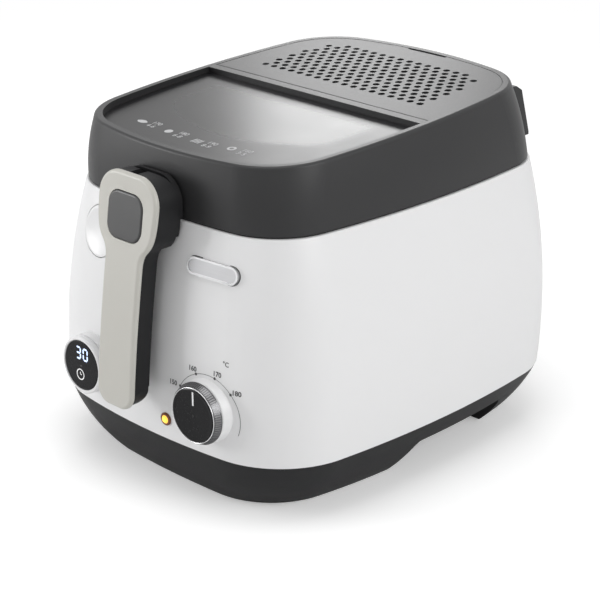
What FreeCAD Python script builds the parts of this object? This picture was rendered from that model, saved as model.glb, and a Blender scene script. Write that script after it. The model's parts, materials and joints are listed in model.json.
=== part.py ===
import FreeCAD, Part
import math
import os
from FreeCAD import Placement, Rotation, Vector

doc = FreeCAD.newDocument("deep_fryer")
sheet = doc.addObject("Spreadsheet::Sheet", "dims")

# Driving sizes, in millimetres and degrees. Front is -Y, up is +Z, the floor is z = 0.
SIZES = [
    ("body_low_z", 46.35), ("body_mid_z", 129.0), ("body_top_z", 211.8), ("body_wall", 2.8),
    ("body_low_a", 143.5), ("body_low_b", 170.0), ("body_low_rc", 68.7),
    ("body_mid_a", 140.2), ("body_mid_b", 169.7), ("body_mid_rc", 62.0), ("body_mid_y", 2.3),
    ("body_top_a", 125.0), ("body_top_b", 157.4), ("body_top_rc", 53.0), ("body_top_y", 4.5),
    ("body_side_rad", 861.0), ("body_front_rad", 578.0),
    ("base_low_a", 113.2), ("base_low_b", 145.3), ("base_low_rc", 59.6), ("base_bulge", 3.5),
    ("base_side_rad", 539.0), ("base_front_rad", 737.0), ("base_low_z", 1.0), ("base_wall", 3.0),
    ("arch_front_y", -29.0), ("arch_rear_y", 90.0), ("arch_roof_z", 29.0),
    ("foot_rad", 9.0), ("foot_stud_rad", 4.0), ("foot_x", 78.0), ("foot_front_y", -105.0),
    ("foot_rear_y", 118.0),
    ("lid_gap", 0.8), ("lid_set_in", 1.5), ("lid_wall", 3.0), ("lid_bulge", 1.6),
    ("lid_top_a", 118.4), ("lid_top_b", 148.0), ("lid_top_rc", 55.0), ("lid_top_y", -2.8),
    ("lid_side_rad", 760.0), ("lid_front_rad", 320.0), ("lid_high", 56.6), ("lid_tilt", 2.977),
    ("rim_width", 6.0), ("deck_drop", 6.5), ("cover_thick", 3.0), ("cover_sink", 0.2),
    ("cover_gap", 0.4), ("cover_axis_y", 11.0), ("well_rear_y", 1.5), ("well_depth", 8.4),
    ("well_deck", 10.4), ("window_thick", 2.4), ("window_sink", 5.4), ("window_lean", 0.3),
    ("tab_half", 20.0), ("tab_gap", 3.2),
    ("hole_rad", 2.8), ("hole_pitch_x", 9.8), ("hole_pitch_y", 7.5), ("hole_first_y", 35.4),
    ("tray_half", 90.0), ("tray_front_y", 22.0), ("tray_rear_gap", 21.2), ("tray_deep", 22.0),
    ("hinge_back", 6.1), ("hinge_rise", 2.2), ("barrel_rad", 5.0), ("pin_rad", 2.0),
    ("run_gap", 0.08), ("block_half", 75.0), ("knuckle_half", 38.0), ("ear_end", 60.0),
    ("ledge_drop", 14.3), ("flange_thick", 1.5), ("tub_inset", 16.0), ("tub_taper", 8.0),
    ("tub_floor_z", 78.0), ("tub_wall", 1.2), ("flange_inset", 12.5), ("element_rad", 75.0),
    ("element_tube", 4.0),
    ("shield_z", 62.0), ("basket_inset", 36.0), ("basket_low_z", 84.0), ("basket_top_z", 170.0),
    ("basket_wall", 1.2), ("basket_wire", 2.0), ("strap_half", 13.0), ("strap_drop", 10.8),
    ("strap_thick", 3.0), ("lift", 36.0), ("move_gap", 0.7),
    ("pivot_rise", 26.2), ("pivot_round", 9.0), ("lug_half", 3.5),
    ("lug_rad", 4.0), ("head_half", 31.0), ("head_rise", 8.6), ("stem_half", 18.9), ("head_round", 20.0),
    ("stem_drop", 163.7), ("cover_skin", 3.8), ("stem_deep", 14.2), ("heel_round", 16.0),
    ("bracket_gap", 3.3),
    ("bracket_thick", 2.1),
    ("thumb_wide", 36.6), ("thumb_high", 34.8), ("thumb_round", 10.5), ("thumb_gap", 0.4),
    ("thumb_travel", 2.0), ("thumb_drop", 22.0),
    ("knob_x", 63.8), ("knob_z", 82.0), ("knob_yaw", 3.0), ("knob_rad", 22.0), ("knob_face_rad", 21.2),
    ("knob_high", 6.4), ("plinth_rad", 22.8), ("plinth_high", 6.6), ("shaft_rad", 3.0),
    ("timer_x", -61.2), ("timer_z", 81.2), ("timer_rad", 23.0), ("timer_face_rad", 19.4),
    ("timer_high", 13.0), ("timer_yaw", 0.0),
    ("pilot_x", 23.4), ("pilot_z", 62.4), ("pilot_rad", 5.0), ("pilot_lens_rad", 3.2),
    ("release_x", -62.0), ("release_drop", 29.3), ("release_rad", 19.5), ("release_travel", 3.0),
    ("plate_x", 61.7), ("plate_drop", 27.3), ("plate_long", 47.0), ("plate_high", 13.0),
    ("inlet_x", 70.0), ("inlet_z", 66.0), ("inlet_rad", 8.0),
]
for row, (alias, size) in enumerate(SIZES, start=1):
    sheet.set("A%d" % row, alias.replace("_", " "))
    sheet.set("B%d" % row, repr(size))
    sheet.setAlias("B%d" % row, alias)
doc.recompute()


def val(alias):
    return float(sheet.get(alias))


# Places that follow from the driving sizes.
body_top = val("body_top_z")
lid_mid_b = (val("body_top_b") - val("lid_set_in") + val("lid_top_b")) / 2 + val("lid_bulge")
front_reach = max(val("body_top_b") - val("body_top_y"), val("lid_top_b") - val("lid_top_y"),
                  lid_mid_b - (val("body_top_y") + val("lid_top_y")) / 2)
bracket_rear = -front_reach - val("bracket_gap")
pivot_depth = val("bracket_thick") + val("move_gap") + val("pivot_round")
PLACES = [
    ("lid_top_z", body_top + val("lid_high")), ("ledge_z", body_top - val("ledge_drop")),
    ("strap_z", body_top - val("strap_drop")), ("pivot_z", body_top + val("pivot_rise")),
    ("hinge_z", body_top + val("hinge_rise")), ("release_z", body_top - val("release_drop")),
    ("plate_z", body_top - val("plate_drop")), ("bracket_y", bracket_rear),
    ("pivot_y", bracket_rear - pivot_depth),
    ("hinge_y", val("body_top_b") + val("body_top_y") + val("hinge_back")),
    ("tray_rear_y", val("lid_top_b") + val("lid_top_y") - val("tray_rear_gap")),
    ("head_top_z", body_top + val("pivot_rise") + val("head_rise")),
    ("stem_low_z", body_top + val("pivot_rise") - val("stem_drop")),
    ("thumb_z", body_top + val("pivot_rise") - val("thumb_drop")),
]
for row, (alias, size) in enumerate(PLACES, start=len(SIZES) + 2):
    sheet.set("A%d" % row, alias.replace("_", " "))
    sheet.set("B%d" % row, repr(size))
    sheet.setAlias("B%d" % row, alias)
doc.recompute()


nodes = {}


def node(name, item):
    item.Label = name
    nodes[name] = item
    return item


def feature(name, shape):
    item = doc.addObject("Part::Feature", name)
    item.Shape = shape
    return item


def bind(item, **cells):
    for prop, cell in cells.items():
        item.setExpression(prop, cell)
    return item


def box(name, x, y, z, long, wide, high):
    item = doc.addObject("Part::Box", name)
    bind(item, Length=long, Width=wide, Height=high)
    item.setExpression("Placement.Base.x", x)
    item.setExpression("Placement.Base.y", y)
    item.setExpression("Placement.Base.z", z)
    return item


def cyl(name, radius, high, place=None, lift=0.0):
    item = doc.addObject("Part::Cylinder", name)
    bind(item, Radius=radius, Height=high)
    if place is not None:
        item.Placement = place.multiply(Placement(Vector(0, 0, lift), Rotation()))
    return item


def cut(name, base, *tools):
    item = base
    for count, tool in enumerate(tools):
        step = doc.addObject("Part::Cut", "%s_cut%d" % (name, count))
        step.Base = item
        step.Tool = tool
        item = step
    return item


def fuse(name, *items):
    item = doc.addObject("Part::MultiFuse", name + "_fuse")
    item.Shapes = list(items)
    return item


def common(name, *items):
    item = doc.addObject("Part::MultiCommon", name + "_common")
    item.Shapes = list(items)
    return item


def slab(name, points, start, end):
    # Side profile of (y, z) points carried along X from start to end.
    wire = Part.makePolygon([Vector(start, y, z) for y, z in points + points[:1]])
    return feature(name, Part.Face(wire).extrude(Vector(end - start, 0, 0)))


def turned(name, points, place):
    # Profile of (radius, height) points turned about the local Z axis.
    wire = Part.makePolygon([Vector(r, 0, h) for r, h in points + points[:1]])
    item = feature(name, Part.Face(wire).revolve(Vector(0, 0, 0), Vector(0, 0, 1), 360))
    item.Placement = place
    return item


# Ovals are made of eight tangent arcs: two sides, a front, a back and four corners.
def oval(a, b, yo, rc, side, front, z, inset=0.0, tilt=0.0, drop=0.0):
    a, b, rc, side, front = [size - inset for size in (a, b, rc, side, front)]
    cx, cy = a - rc, b - rc
    for _ in range(60):
        ux, uy = cx - (a - side), cy
        vx, vy = cx, cy - (b - front)
        du, dv = math.hypot(ux, uy), math.hypot(vx, vy)
        fu, fv = du - (side - rc), dv - (front - rc)
        det = (ux * vy - uy * vx) / (du * dv)
        cx -= (fu * vy / dv - fv * uy / du) / det
        cy -= (fv * ux / du - fu * vx / dv) / det
    ux, uy = cx - (a - side), cy
    du = math.hypot(ux, uy)
    vx, vy = cx, cy - (b - front)
    dv = math.hypot(vx, vy)
    ps = (a - side + side * ux / du, side * uy / du)
    pf = (front * vx / dv, b - front + front * vy / dv)
    mx, my = ux / du + vx / dv, uy / du + vy / dv
    mm = math.hypot(mx, my)
    pm = (cx + rc * mx / mm, cy + rc * my / mm)
    ring = [(ps[0], -ps[1]), (a, 0), ps, pm, pf, (0, b), (-pf[0], pf[1]), (-pm[0], pm[1]),
            (-ps[0], ps[1]), (-a, 0), (-ps[0], -ps[1]), (-pm[0], -pm[1]), (-pf[0], -pf[1]),
            (0, -b), (pf[0], -pf[1]), (pm[0], -pm[1])]
    pts = [Vector(x, y + yo, drop) for x, y in ring]
    turn = Placement(Vector(0, 0, z), Rotation(Vector(1, 0, 0), tilt))
    pts = [turn.multVec(p) for p in pts]
    arcs = []
    for i in range(0, 16, 2):
        arcs.append(Part.Arc(pts[i], pts[i + 1], pts[(i + 2) % 16]).toShape())
    return Part.Wire(arcs)


def loft(*wires):
    return Part.makeLoft(list(wires), True, False)


def rounded(shape, radius, wanted):
    # Rounds the outer edge of each flat face that wanted() picks.
    edges = []
    for face in shape.Faces:
        if face.Surface.TypeId == "Part::GeomPlane" and wanted(face.CenterOfMass):
            edges += face.OuterWire.Edges
    return shape.makeFillet(radius, edges)


def prism(wire, vector):
    return Part.Face(wire).extrude(vector)


# Outer shell of the body, its base and its lid.
def body_at(level, inset=0.0):
    yo = {"low": 0.0, "mid": val("body_mid_y"), "top": val("body_top_y")}[level]
    return oval(val("body_%s_a" % level), val("body_%s_b" % level), yo, val("body_%s_rc" % level),
                val("body_side_rad"), val("body_front_rad"), val("body_%s_z" % level), inset)


def body_solid(inset=0.0):
    return loft(body_at("low", inset), body_at("mid", inset), body_at("top", inset))


def top_oval(z, inset):
    return oval(val("body_top_a"), val("body_top_b"), val("body_top_y"), val("body_top_rc"),
                val("body_side_rad"), val("body_front_rad"), z, inset)


BODY_OUT = body_solid()
BODY_IN = body_solid(val("body_wall"))


def front_y(x, z):
    ray = Part.makeLine(Vector(x, -400, z), Vector(x, 0, z))
    return ray.common(BODY_OUT).BoundBox.YMin


def front_frame(x, z, yaw=None):
    # Frame on the body's front: local Z points out, local Y points up.
    y = front_y(x, z)
    slope_x = (front_y(x + 2, z) - front_y(x - 2, z)) / 4.0
    slope_z = (front_y(x, z + 2) - front_y(x, z - 2)) / 4.0
    if yaw is not None:
        slope_x = math.tan(math.radians(yaw))
    out = Vector(slope_x, -1, slope_z)
    out.normalize()
    return frame_of(Vector(x, y, z), out)


def frame_of(base, out):
    side = Vector(0, 0, 1).cross(out)
    side.normalize()
    rise = out.cross(side)
    matrix = FreeCAD.Matrix(side.x, rise.x, out.x, base.x, side.y, rise.y, out.y, base.y,
                            side.z, rise.z, out.z, base.z, 0, 0, 0, 1)
    return Placement(matrix)


def along_x(x, y, z):
    return Placement(Vector(x, y, z), Rotation(Vector(0, 1, 0), 90))


body_out = feature("body_out", BODY_OUT)
body_in = feature("body_in", BODY_IN)
knob_frame = front_frame(val("knob_x"), val("knob_z"), val("knob_yaw"))
timer_frame = front_frame(val("timer_x"), val("timer_z"), val("timer_yaw"))
pilot_frame = front_frame(val("pilot_x"), val("pilot_z"))
release_frame = front_frame(val("release_x"), val("release_z"))
plate_frame = front_frame(val("plate_x"), val("plate_z"))
inlet_frame = Placement(Vector(val("inlet_x"), 0, val("inlet_z")), Rotation(Vector(1, 0, 0), -90))

# Body shell with its holes for the controls and the notch for the basket strap.
notch = box("strap_notch", "-dims.strap_half - dims.move_gap", "-200", "dims.strap_z - dims.move_gap",
            "2 * (dims.strap_half + dims.move_gap)", "80", "60")
body_skin = feature("body_skin", rounded(BODY_OUT, 1.2, lambda c: c.z > val("body_mid_z")))
node("body_shell", cut("body_shell", body_skin, body_in, notch,
     cyl("knob_hole", "dims.shaft_rad + 2", "40", knob_frame, -20),
     cyl("timer_hole", "dims.timer_face_rad - 3", "40", timer_frame, -20),
     cyl("pilot_hole", "dims.pilot_lens_rad + 0.3", "30", pilot_frame, -15),
     cyl("release_hole", "dims.release_rad + 0.6", "30", release_frame, -15),
     cyl("inlet_hole", "dims.inlet_rad - 2", "400", inlet_frame, 0)))

# Base tray with the arched channel that runs under the middle.
def base_solid(inset, low_z):
    low = oval(val("base_low_a"), val("base_low_b"), 0, val("base_low_rc"), val("base_side_rad"),
               val("base_front_rad"), low_z, inset)
    mid = oval((val("base_low_a") + val("body_low_a")) / 2 + val("base_bulge"),
               (val("base_low_b") + val("body_low_b")) / 2 + val("base_bulge"), 0,
               (val("base_low_rc") + val("body_low_rc")) / 2,
               (val("base_side_rad") + val("body_side_rad")) / 2,
               (val("base_front_rad") + val("body_front_rad")) / 2,
               (val("base_low_z") + val("body_low_z")) / 2, inset)
    high = oval(val("body_low_a"), val("body_low_b"), 0, val("body_low_rc"), val("body_side_rad"),
                val("body_front_rad"), val("body_low_z"), inset)
    return loft(low, mid, high)


def arch(grow):
    y0, y1, z1 = val("arch_front_y"), val("arch_rear_y"), val("arch_roof_z") + grow
    pts = [(y0 - grow, -5.0), (y0 - grow, 1.0)]
    for i in range(1, 9):
        f = i / 8.0
        pts.append((y0 - grow + 14.0 * f, 1.0 + (z1 - 1.0) * (0.5 - 0.5 * math.cos(math.pi * f ** 0.8))))
    pts += [(y1 - 8.0 + grow, z1), (y1 - 5.0 + grow, z1 - 4.0), (y1 + grow, -5.0)]
    return pts


arch_cut = slab("arch_cut", arch(0.0), -220, 220)
arch_roof = slab("arch_roof", arch(val("base_wall")), -220, 220)
base_raw = base_solid(0.0, val("base_low_z"))
base_out = feature("base_out", rounded(base_raw, 2.0, lambda c: c.z < val("body_low_z") / 2))
base_in = cut("base_in", feature("base_core",
                                 base_solid(val("base_wall"), val("base_low_z") + val("base_wall"))),
              arch_roof)
feet = []
feet_holes = []
for fx in ("dims.foot_x", "-dims.foot_x"):
    for fy in ("dims.foot_front_y", "dims.foot_rear_y"):
        disc = cyl("foot_disc", "dims.foot_rad", "dims.base_low_z")
        stud = cyl("foot_stud", "dims.foot_stud_rad", "dims.base_wall + 1")
        hole = cyl("foot_hole", "dims.foot_stud_rad", "dims.base_wall * 3")
        for item, z in ((disc, "0"), (stud, "dims.base_low_z"), (hole, "0")):
            item.setExpression("Placement.Base.x", fx)
            item.setExpression("Placement.Base.y", fy)
            item.setExpression("Placement.Base.z", z)
        feet += [disc, stud]
        feet_holes.append(hole)
node("base_tray", cut("base_tray", base_out, base_in, arch_cut, *feet_holes))
node("rubber_feet", fuse("rubber_feet", *feet))

# Inner ledge that the frying tub hangs on.
ledge_slab = box("ledge_slab", "-200", "-200", "dims.ledge_z - 6", "400", "400", "6")
tub_hole = feature("tub_hole", prism(top_oval(0, val("tub_inset") - 0.6), Vector(0, 0, 300)))
release_room = cyl("release_room", "dims.release_rad + 4", "60", release_frame, -40)
node("rim_frame", cut("rim_frame", common("rim_ring", body_in, ledge_slab), tub_hole, release_room))

# Frying tub: a tapered pan with a flange.
def pan(low_z, low_inset, top_z, top_inset):
    return loft(top_oval(low_z, low_inset), top_oval(top_z, top_inset))


tub_in = val("tub_inset")
tub_low = tub_in + val("tub_taper")
tub_top = val("ledge_z") + val("flange_thick")
wall = val("tub_wall")
tub_pan = feature("tub_pan", pan(val("tub_floor_z"), tub_low, tub_top, tub_in))
tub_core = feature("tub_core", pan(val("tub_floor_z") + wall, tub_low + wall, tub_top, tub_in + wall))
tub_flange = feature("tub_flange", prism(top_oval(val("ledge_z"), val("flange_inset")),
                                         Vector(0, 0, val("flange_thick"))))
node("frying_tub", cut("frying_tub", fuse("tub_outer", tub_pan, tub_flange), tub_core))

# Heating parts under the tub.
ring = doc.addObject("Part::Torus", "element_ring")
bind(ring, Radius1="dims.element_rad", Radius2="dims.element_tube")
ring.setExpression("Placement.Base.z", "dims.tub_floor_z - dims.element_tube - 1")
legs = []
for side in (-1, 1):
    leg = cyl("element_leg", "dims.element_tube - 0.5", "20",
              Placement(Vector(14 * side, val("element_rad") - 1.5, val("tub_floor_z") - 24), Rotation()))
    legs.append(leg)
node("heating_element", fuse("heating_element", ring, *legs))
shield = feature("shield_plate", prism(top_oval(val("shield_z"), 26), Vector(0, 0, 1)))
posts = []
for px in (-86, 86):
    for py in (-80, 108):
        posts.append(cyl("shield_post", "4", "dims.shield_z - dims.base_low_z - dims.base_wall",
                         Placement(Vector(px, py, val("base_low_z") + val("base_wall")), Rotation())))
leg_hole = box("leg_hole", "-24", "dims.element_rad - 14", "dims.shield_z - 5", "48", "26", "10")
node("heat_shield", cut("heat_shield", fuse("shield", shield, *posts), leg_hole))
block = box("terminal_body", "-22", "dims.element_rad - 12", "dims.arch_roof_z + dims.base_wall", "44", "22",
            "dims.tub_floor_z - 24 - dims.arch_roof_z - dims.base_wall")
node("terminal_block", block)
node("thermal_cutout", cyl("thermal_cutout", "8", "9",
                           Placement(Vector(30, 20, val("shield_z") - 9), Rotation())))

# Knob, its plinth and the thermostat that carries it.
pr, ph = val("plinth_rad"), val("plinth_high")
plinth = turned("plinth_ring", [(9, -6), (pr + 1.2, -6), (pr + 1.2, 0), (pr, ph - 0.8), (pr - 0.8, ph),
                                (9, ph)],
                knob_frame)
node("knob_plinth", cut("knob_plinth", plinth, body_out))
kr, kf = val("knob_rad"), val("knob_face_rad")
k0 = val("plinth_high") + 0.5
k1 = k0 + val("knob_high")
node("knob_ring", turned("knob_ring", [(kf - 1.0, k0), (kr - 0.4, k0), (kr, k0 + 0.5), (kr, k1 - 1.6),
     (kr - 0.6, k1 - 0.3), (kf - 0.4, k1), (kf - 1.0, k1)], knob_frame))
cap = turned("knob_dish", [(0, k0 + 1), (kf - 1.0, k0 + 1), (kf - 1.0, k1 + 0.1), (kf - 1.8, k1 + 0.5),
             (kf - 4.0, k1 + 0.3), (0, k1 - 0.1)], knob_frame)
pointer_box = doc.addObject("Part::Box", "pointer_box")
bind(pointer_box, Length="1.5", Width="10.5", Height="3")
pointer_box.Placement = knob_frame.multiply(Placement(Vector(-0.75, 7.6, k1 - 1.6), Rotation()))
shaft = cyl("shaft_rod", "dims.shaft_rad", "%g" % (k0 + 1 + 22), knob_frame, -22)
node("knob_cap", cut("knob_cap", cap, pointer_box))
node("knob_pointer", common("knob_pointer", pointer_box, cap))
node("knob_shaft", shaft)
thermo = doc.addObject("Part::Box", "thermo_case")
bind(thermo, Length="38", Width="34", Height="20")
thermo.Placement = knob_frame.multiply(Placement(Vector(-19, -17, -26), Rotation()))
thermo_boss = cyl("thermo_boss", "10", "12", knob_frame, -13)
bore = cyl("thermo_bore", "dims.shaft_rad + dims.run_gap", "60", knob_frame, -24)
node("thermostat", common("thermostat", cut("thermo", fuse("thermo_body", thermo, thermo_boss), bore),
                          body_in))

# Timer pod: white collar and bezel, and a black button that carries the figures.
tr, tf, th = val("timer_rad"), val("timer_face_rad"), val("timer_high")
collar = turned("timer_ring", [(tf + 0.35, -9), (tr, -9), (tr, th * 0.55), (tr - 1.4, th * 0.55 + 0.2),
                (tr - 1.4, th * 0.55 + 1.4), (tr - 0.6, th * 0.55 + 1.6), (tr - 0.6, th - 1.2),
                (tr - 1.6, th - 0.2),
                (tf + 0.9, th), (tf + 0.35, th - 0.4)], timer_frame)
node("timer_collar", cut("timer_collar", collar, body_out))
node("timer_button", turned("timer_face", [(0, 5.5), (tf, 5.5), (tf, th - 0.7), (tf - 0.6, th - 0.3),
     (0, th - 0.1)], timer_frame))
timer_rod = cyl("timer_rod", "3", "5.5", timer_frame, 0)
nodes["timer_button"] = node("timer_button", fuse("timer_button", nodes["timer_button"], timer_rod))
board = turned("timer_cup", [(0, -9), (tr - 1, -9), (tr - 1, 2), (tf - 0.8, 2), (tf - 0.8, -7), (0, -7)],
               timer_frame)
node("timer_board", common("timer_board", board, body_in))
node("timer_switch", cyl("timer_switch", "4", "5.4", timer_frame, -7))

# Pilot light, bare plate, lid release button and cord gland.
pr, pl = val("pilot_rad"), val("pilot_lens_rad")
node("pilot_bezel", cut("pilot_bezel", turned("pilot_ring", [(pl, -1), (pr, -1), (pr, 0.9), (pr - 0.6, 1.4),
     (pl, 1.4)], pilot_frame), body_out))
node("pilot_lens", turned("pilot_dome", [(0, -6), (pl, -6), (pl, 1.2), (pl * 0.7, 2.2), (0, 2.6)],
                          pilot_frame))


def stadium(name, long, high, low, top, place):
    half = (long - high) / 2.0
    r = high / 2.0
    edges = [Part.makeLine(Vector(-half, -r, low), Vector(half, -r, low)),
             Part.Arc(Vector(half, -r, low), Vector(half + r, 0, low), Vector(half, r, low)).toShape(),
             Part.makeLine(Vector(half, r, low), Vector(-half, r, low)),
             Part.Arc(Vector(-half, r, low), Vector(-half - r, 0, low), Vector(-half, -r, low)).toShape()]
    item = feature(name, prism(Part.Wire(edges), Vector(0, 0, top - low)))
    item.Placement = place
    return item


pw, ph = val("plate_long"), val("plate_high")
node("name_plate", cut("name_plate", stadium("plate_slab", pw, ph, -1.5, 1.6, plate_frame), body_out,
     stadium("plate_dip", pw - 3.0, ph - 3.0, 1.0, 3.0, plate_frame)))
rr = val("release_rad")
dish = doc.addObject("Part::Sphere", "release_dish")
bind(dish, Radius="80")
dish.Placement = release_frame.multiply(Placement(Vector(0, 0, 78.2), Rotation()))
release_disc = turned("release_disc", [(0, -12.6), (4, -12.6), (4, -7), (rr + 1.6, -7), (rr + 1.6, -5.2),
                                       (rr, -5.2),
                      (rr, -0.4), (rr - 0.5, 0.1), (0, 0.1)], release_frame)
node("release_button", cut("release_button", release_disc, dish))
guide = turned("guide_cup", [(4.1, -13), (rr + 3.4, -13), (rr + 3.4, 6), (rr + 2.2, 6), (rr + 2.2, -11.4),
               (4.1, -11.4)], release_frame)
node("release_guide", common("release_guide", guide, body_in))
gland = cyl("gland_tube", "dims.inlet_rad", "dims.body_low_b + 6", inlet_frame, 0)
gland_bore = cyl("gland_bore", "dims.inlet_rad - 4", "400", inlet_frame, 0)
gland_back = box("gland_back", "dims.inlet_x - 50", "0", "dims.inlet_z - 50", "100", "dims.body_low_b / 2",
                 "100")
node("cord_gland", cut("cord_gland", gland, body_out, gland_bore, gland_back))

# Lid shell: a lofted skirt with a tilted top, a rim, and recesses for window and filter cover.
lid_low_z = val("body_top_z") + val("lid_gap")
top_turn = Placement(Vector(0, 0, val("lid_top_z")), Rotation(Vector(1, 0, 0), val("lid_tilt")))


def lid_oval(inset, drop=0.0):
    return oval(val("lid_top_a"), val("lid_top_b"), val("lid_top_y"), val("lid_top_rc"), val("lid_side_rad"),
                val("lid_front_rad"), val("lid_top_z"), inset, val("lid_tilt"), drop)


def lid_solid(inset, drop):
    set_in = val("lid_set_in")
    low = top_oval(lid_low_z, set_in + inset)
    mid = oval((val("body_top_a") - set_in + val("lid_top_a")) / 2 + val("lid_bulge"),
               (val("body_top_b") - set_in + val("lid_top_b")) / 2 + val("lid_bulge"),
               (val("body_top_y") + val("lid_top_y")) / 2, (val("body_top_rc") + val("lid_top_rc")) / 2,
               (val("body_side_rad") + val("lid_side_rad")) / 2,
               (val("body_front_rad") + val("lid_front_rad")) / 2,
               (lid_low_z + val("lid_top_z")) / 2, inset, val("lid_tilt") / 2)
    return loft(low, mid, lid_oval(inset, drop))


def top_box(name, x0, x1, v0, v1, w0, w1):
    item = doc.addObject("Part::Box", name)
    item.Length, item.Width, item.Height = x1 - x0, v1 - v0, w1 - w0
    item.Placement = top_turn.multiply(Placement(Vector(x0, v0, w0), Rotation()))
    return item


def top_prism(name, inset, w0, w1):
    up = top_turn.Rotation.multVec(Vector(0, 0, w1 - w0))
    return feature(name, prism(lid_oval(inset, w0), up))


rim = val("rim_width")
deck = val("deck_drop")
axis_v = val("cover_axis_y")
sink = val("cover_sink")
thick = val("cover_thick")
gap = val("cover_gap")
axis_w = -sink - thick / 2
LID_OUT = lid_solid(0.0, 0.0)
LID_SOFT = rounded(LID_OUT, 2.4, lambda c: c.z > lid_low_z + 5)
lid_out = feature("lid_out", rounded(LID_SOFT, 1.0, lambda c: c.z < lid_low_z + 5))
lid_room = feature("lid_room", lid_solid(val("lid_wall"), -deck))
well_floor = top_box("well_floor", -200, 200, -250, val("well_rear_y") + 3, -val("well_deck"), 20)
lid_core = cut("lid_core", lid_room, well_floor)
front_zone = top_box("front_zone", -200, 200, -250, val("well_rear_y"), -40, 20)
rear_zone = top_box("rear_zone", -200, 200, axis_v - thick / 2 - gap, 250, -40, 20)
front_dip = common("front_dip", top_prism("front_well", rim, -val("well_depth"), 10), front_zone)
rear_dip = common("rear_dip", top_prism("rear_well", rim, -sink - thick - gap, 10), rear_zone)
sight = common("sight", top_prism("sight_well", rim + 7, -40, 10),
               top_box("sight_zone", -200, 200, -250, val("well_rear_y") - 9, -40, 20))
vent = top_box("vent", -val("tray_half") + 6, val("tray_half") - 6, val("tray_front_y") + 6,
               val("tray_rear_y") - 6, -20, 10)
cover_pin_hole = cyl("cover_pin_hole", "dims.cover_thick / 2 + dims.run_gap", "2 * (dims.lid_top_a - 2.2)",
                     top_turn.multiply(along_x(-val("lid_top_a") + 2.2, axis_v, axis_w)))
strap_slot = box("strap_slot", "-dims.strap_half - dims.move_gap", "-200", "150",
                 "2 * (dims.strap_half + dims.move_gap)", "75",
                 "dims.strap_z + dims.strap_thick + dims.lift + dims.move_gap - 150")
node("lid_shell", cut("lid_shell", lid_out, lid_core, front_dip, rear_dip, sight, vent,
     cover_pin_hole, strap_slot))

# Viewing window on its seal.
window_lean = Placement(Vector(0, -143, -val("window_sink")), Rotation(Vector(1, 0, 0), val("window_lean")))
window_turn = top_turn.multiply(window_lean)


def window_box(name, w0, w1):
    item = doc.addObject("Part::Box", name)
    item.Length, item.Width, item.Height = 400, 400, w1 - w0
    item.Placement = window_turn.multiply(Placement(Vector(-200, -100, w0), Rotation()))
    return item


window_zone = top_box("window_zone", -200, 200, -250, val("well_rear_y") - 0.15, -40, 20)
window_blank = common("window_blank", top_prism("window_well", rim + 0.15, -val("well_depth"), 5),
                      window_zone)
node("viewing_window", common("viewing_window", window_blank,
                              window_box("window_layer", -val("window_thick"), 0)))
node("window_seal", cut("window_seal", window_blank, window_box("window_over", -val("window_thick"), 20),
                        sight))

# Filter cover: hinged on its front edge, perforated over the filters.
cover_zone = top_box("cover_zone", -200, 200, axis_v, 250, -40, 20)
cover_plate = common("cover_plate", top_prism("cover_well", rim + 0.35, -sink - thick, -sink), cover_zone)
tab_line = val("lid_top_b") + val("lid_top_y") - rim - val("tab_gap")
tab_gap = top_box("tab_gap", -val("tab_half"), val("tab_half"), tab_line, tab_line + 40, -20, 20)
pin_half = val("lid_top_a") - 3.0
cover_edge = cyl("cover_edge", "dims.cover_thick / 2", "2 * (dims.lid_top_a - 3)",
                 top_turn.multiply(along_x(-pin_half, axis_v, axis_w)))
px, py = val("hole_pitch_x"), val("hole_pitch_y")
counts = [18, 17, 18, 17, 18, 17, 18, 17, 16, 17, 14]
holes = []
for i, count in enumerate(counts):
    for j in range(count):
        spot = Vector((j - (count - 1) / 2.0) * px * 0.985, val("hole_first_y") + i * py, -sink - thick - 1)
        holes.append(Part.makeCylinder(val("hole_rad"), thick + 2, spot))
hole_set = feature("cover_holes", Part.makeCompound(holes))
hole_set.Placement = top_turn
node("filter_cover", cut("filter_cover", fuse("cover_blank", cover_plate, cover_edge), tab_gap, hole_set))

# Filter tray under the deck with a foam pad over a charcoal pad.
tray_half, tray_f, tray_r = val("tray_half"), val("tray_front_y"), val("tray_rear_y")
tray_low = -deck - val("tray_deep")
tray_out = top_box("tray_out", -tray_half, tray_half, tray_f, tray_r, tray_low, -deck)
tray_in = top_box("tray_in", -tray_half + 2, tray_half - 2, tray_f + 2, tray_r - 2, tray_low + 2, 0)
slots = []
for i in range(8):
    sx = -tray_half + 12 + i * (2 * tray_half - 24) / 8.0
    slots.append(top_box("tray_slot", sx, sx + 9, tray_f + 12, tray_r - 12, tray_low - 5, tray_low + 6))
node("filter_tray", cut("filter_tray", tray_out, tray_in, *slots))
pad = tray_half - 2.5
pad_mid = tray_low + 2 + 9
node("charcoal_filter", top_box("charcoal_pad", -pad, pad, tray_f + 2.5, tray_r - 2.5, tray_low + 2, pad_mid))
node("foam_filter", top_box("foam_pad", -pad, pad, tray_f + 2.5, tray_r - 2.5, pad_mid, pad_mid + 10))

# Lid gasket inside the skirt.
gasket_low = lid_low_z - 6.0
gasket_ring = feature("gasket_ring", prism(top_oval(gasket_low, val("lid_set_in") + 3.2), Vector(0, 0, 16)))
gasket_bore = feature("gasket_bore", prism(top_oval(gasket_low, val("lid_set_in") + 5.8), Vector(0, 0, 20)))
node("lid_gasket", cut("lid_gasket", common("gasket_seat", gasket_ring, fuse("gasket_room",
     feature("gasket_core", lid_solid(val("lid_wall"), -deck)),
     box("gasket_under", "-200", "-200", "100", "400", "400", "dims.body_top_z + dims.lid_gap - 100"))),
     gasket_bore, strap_slot))

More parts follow.
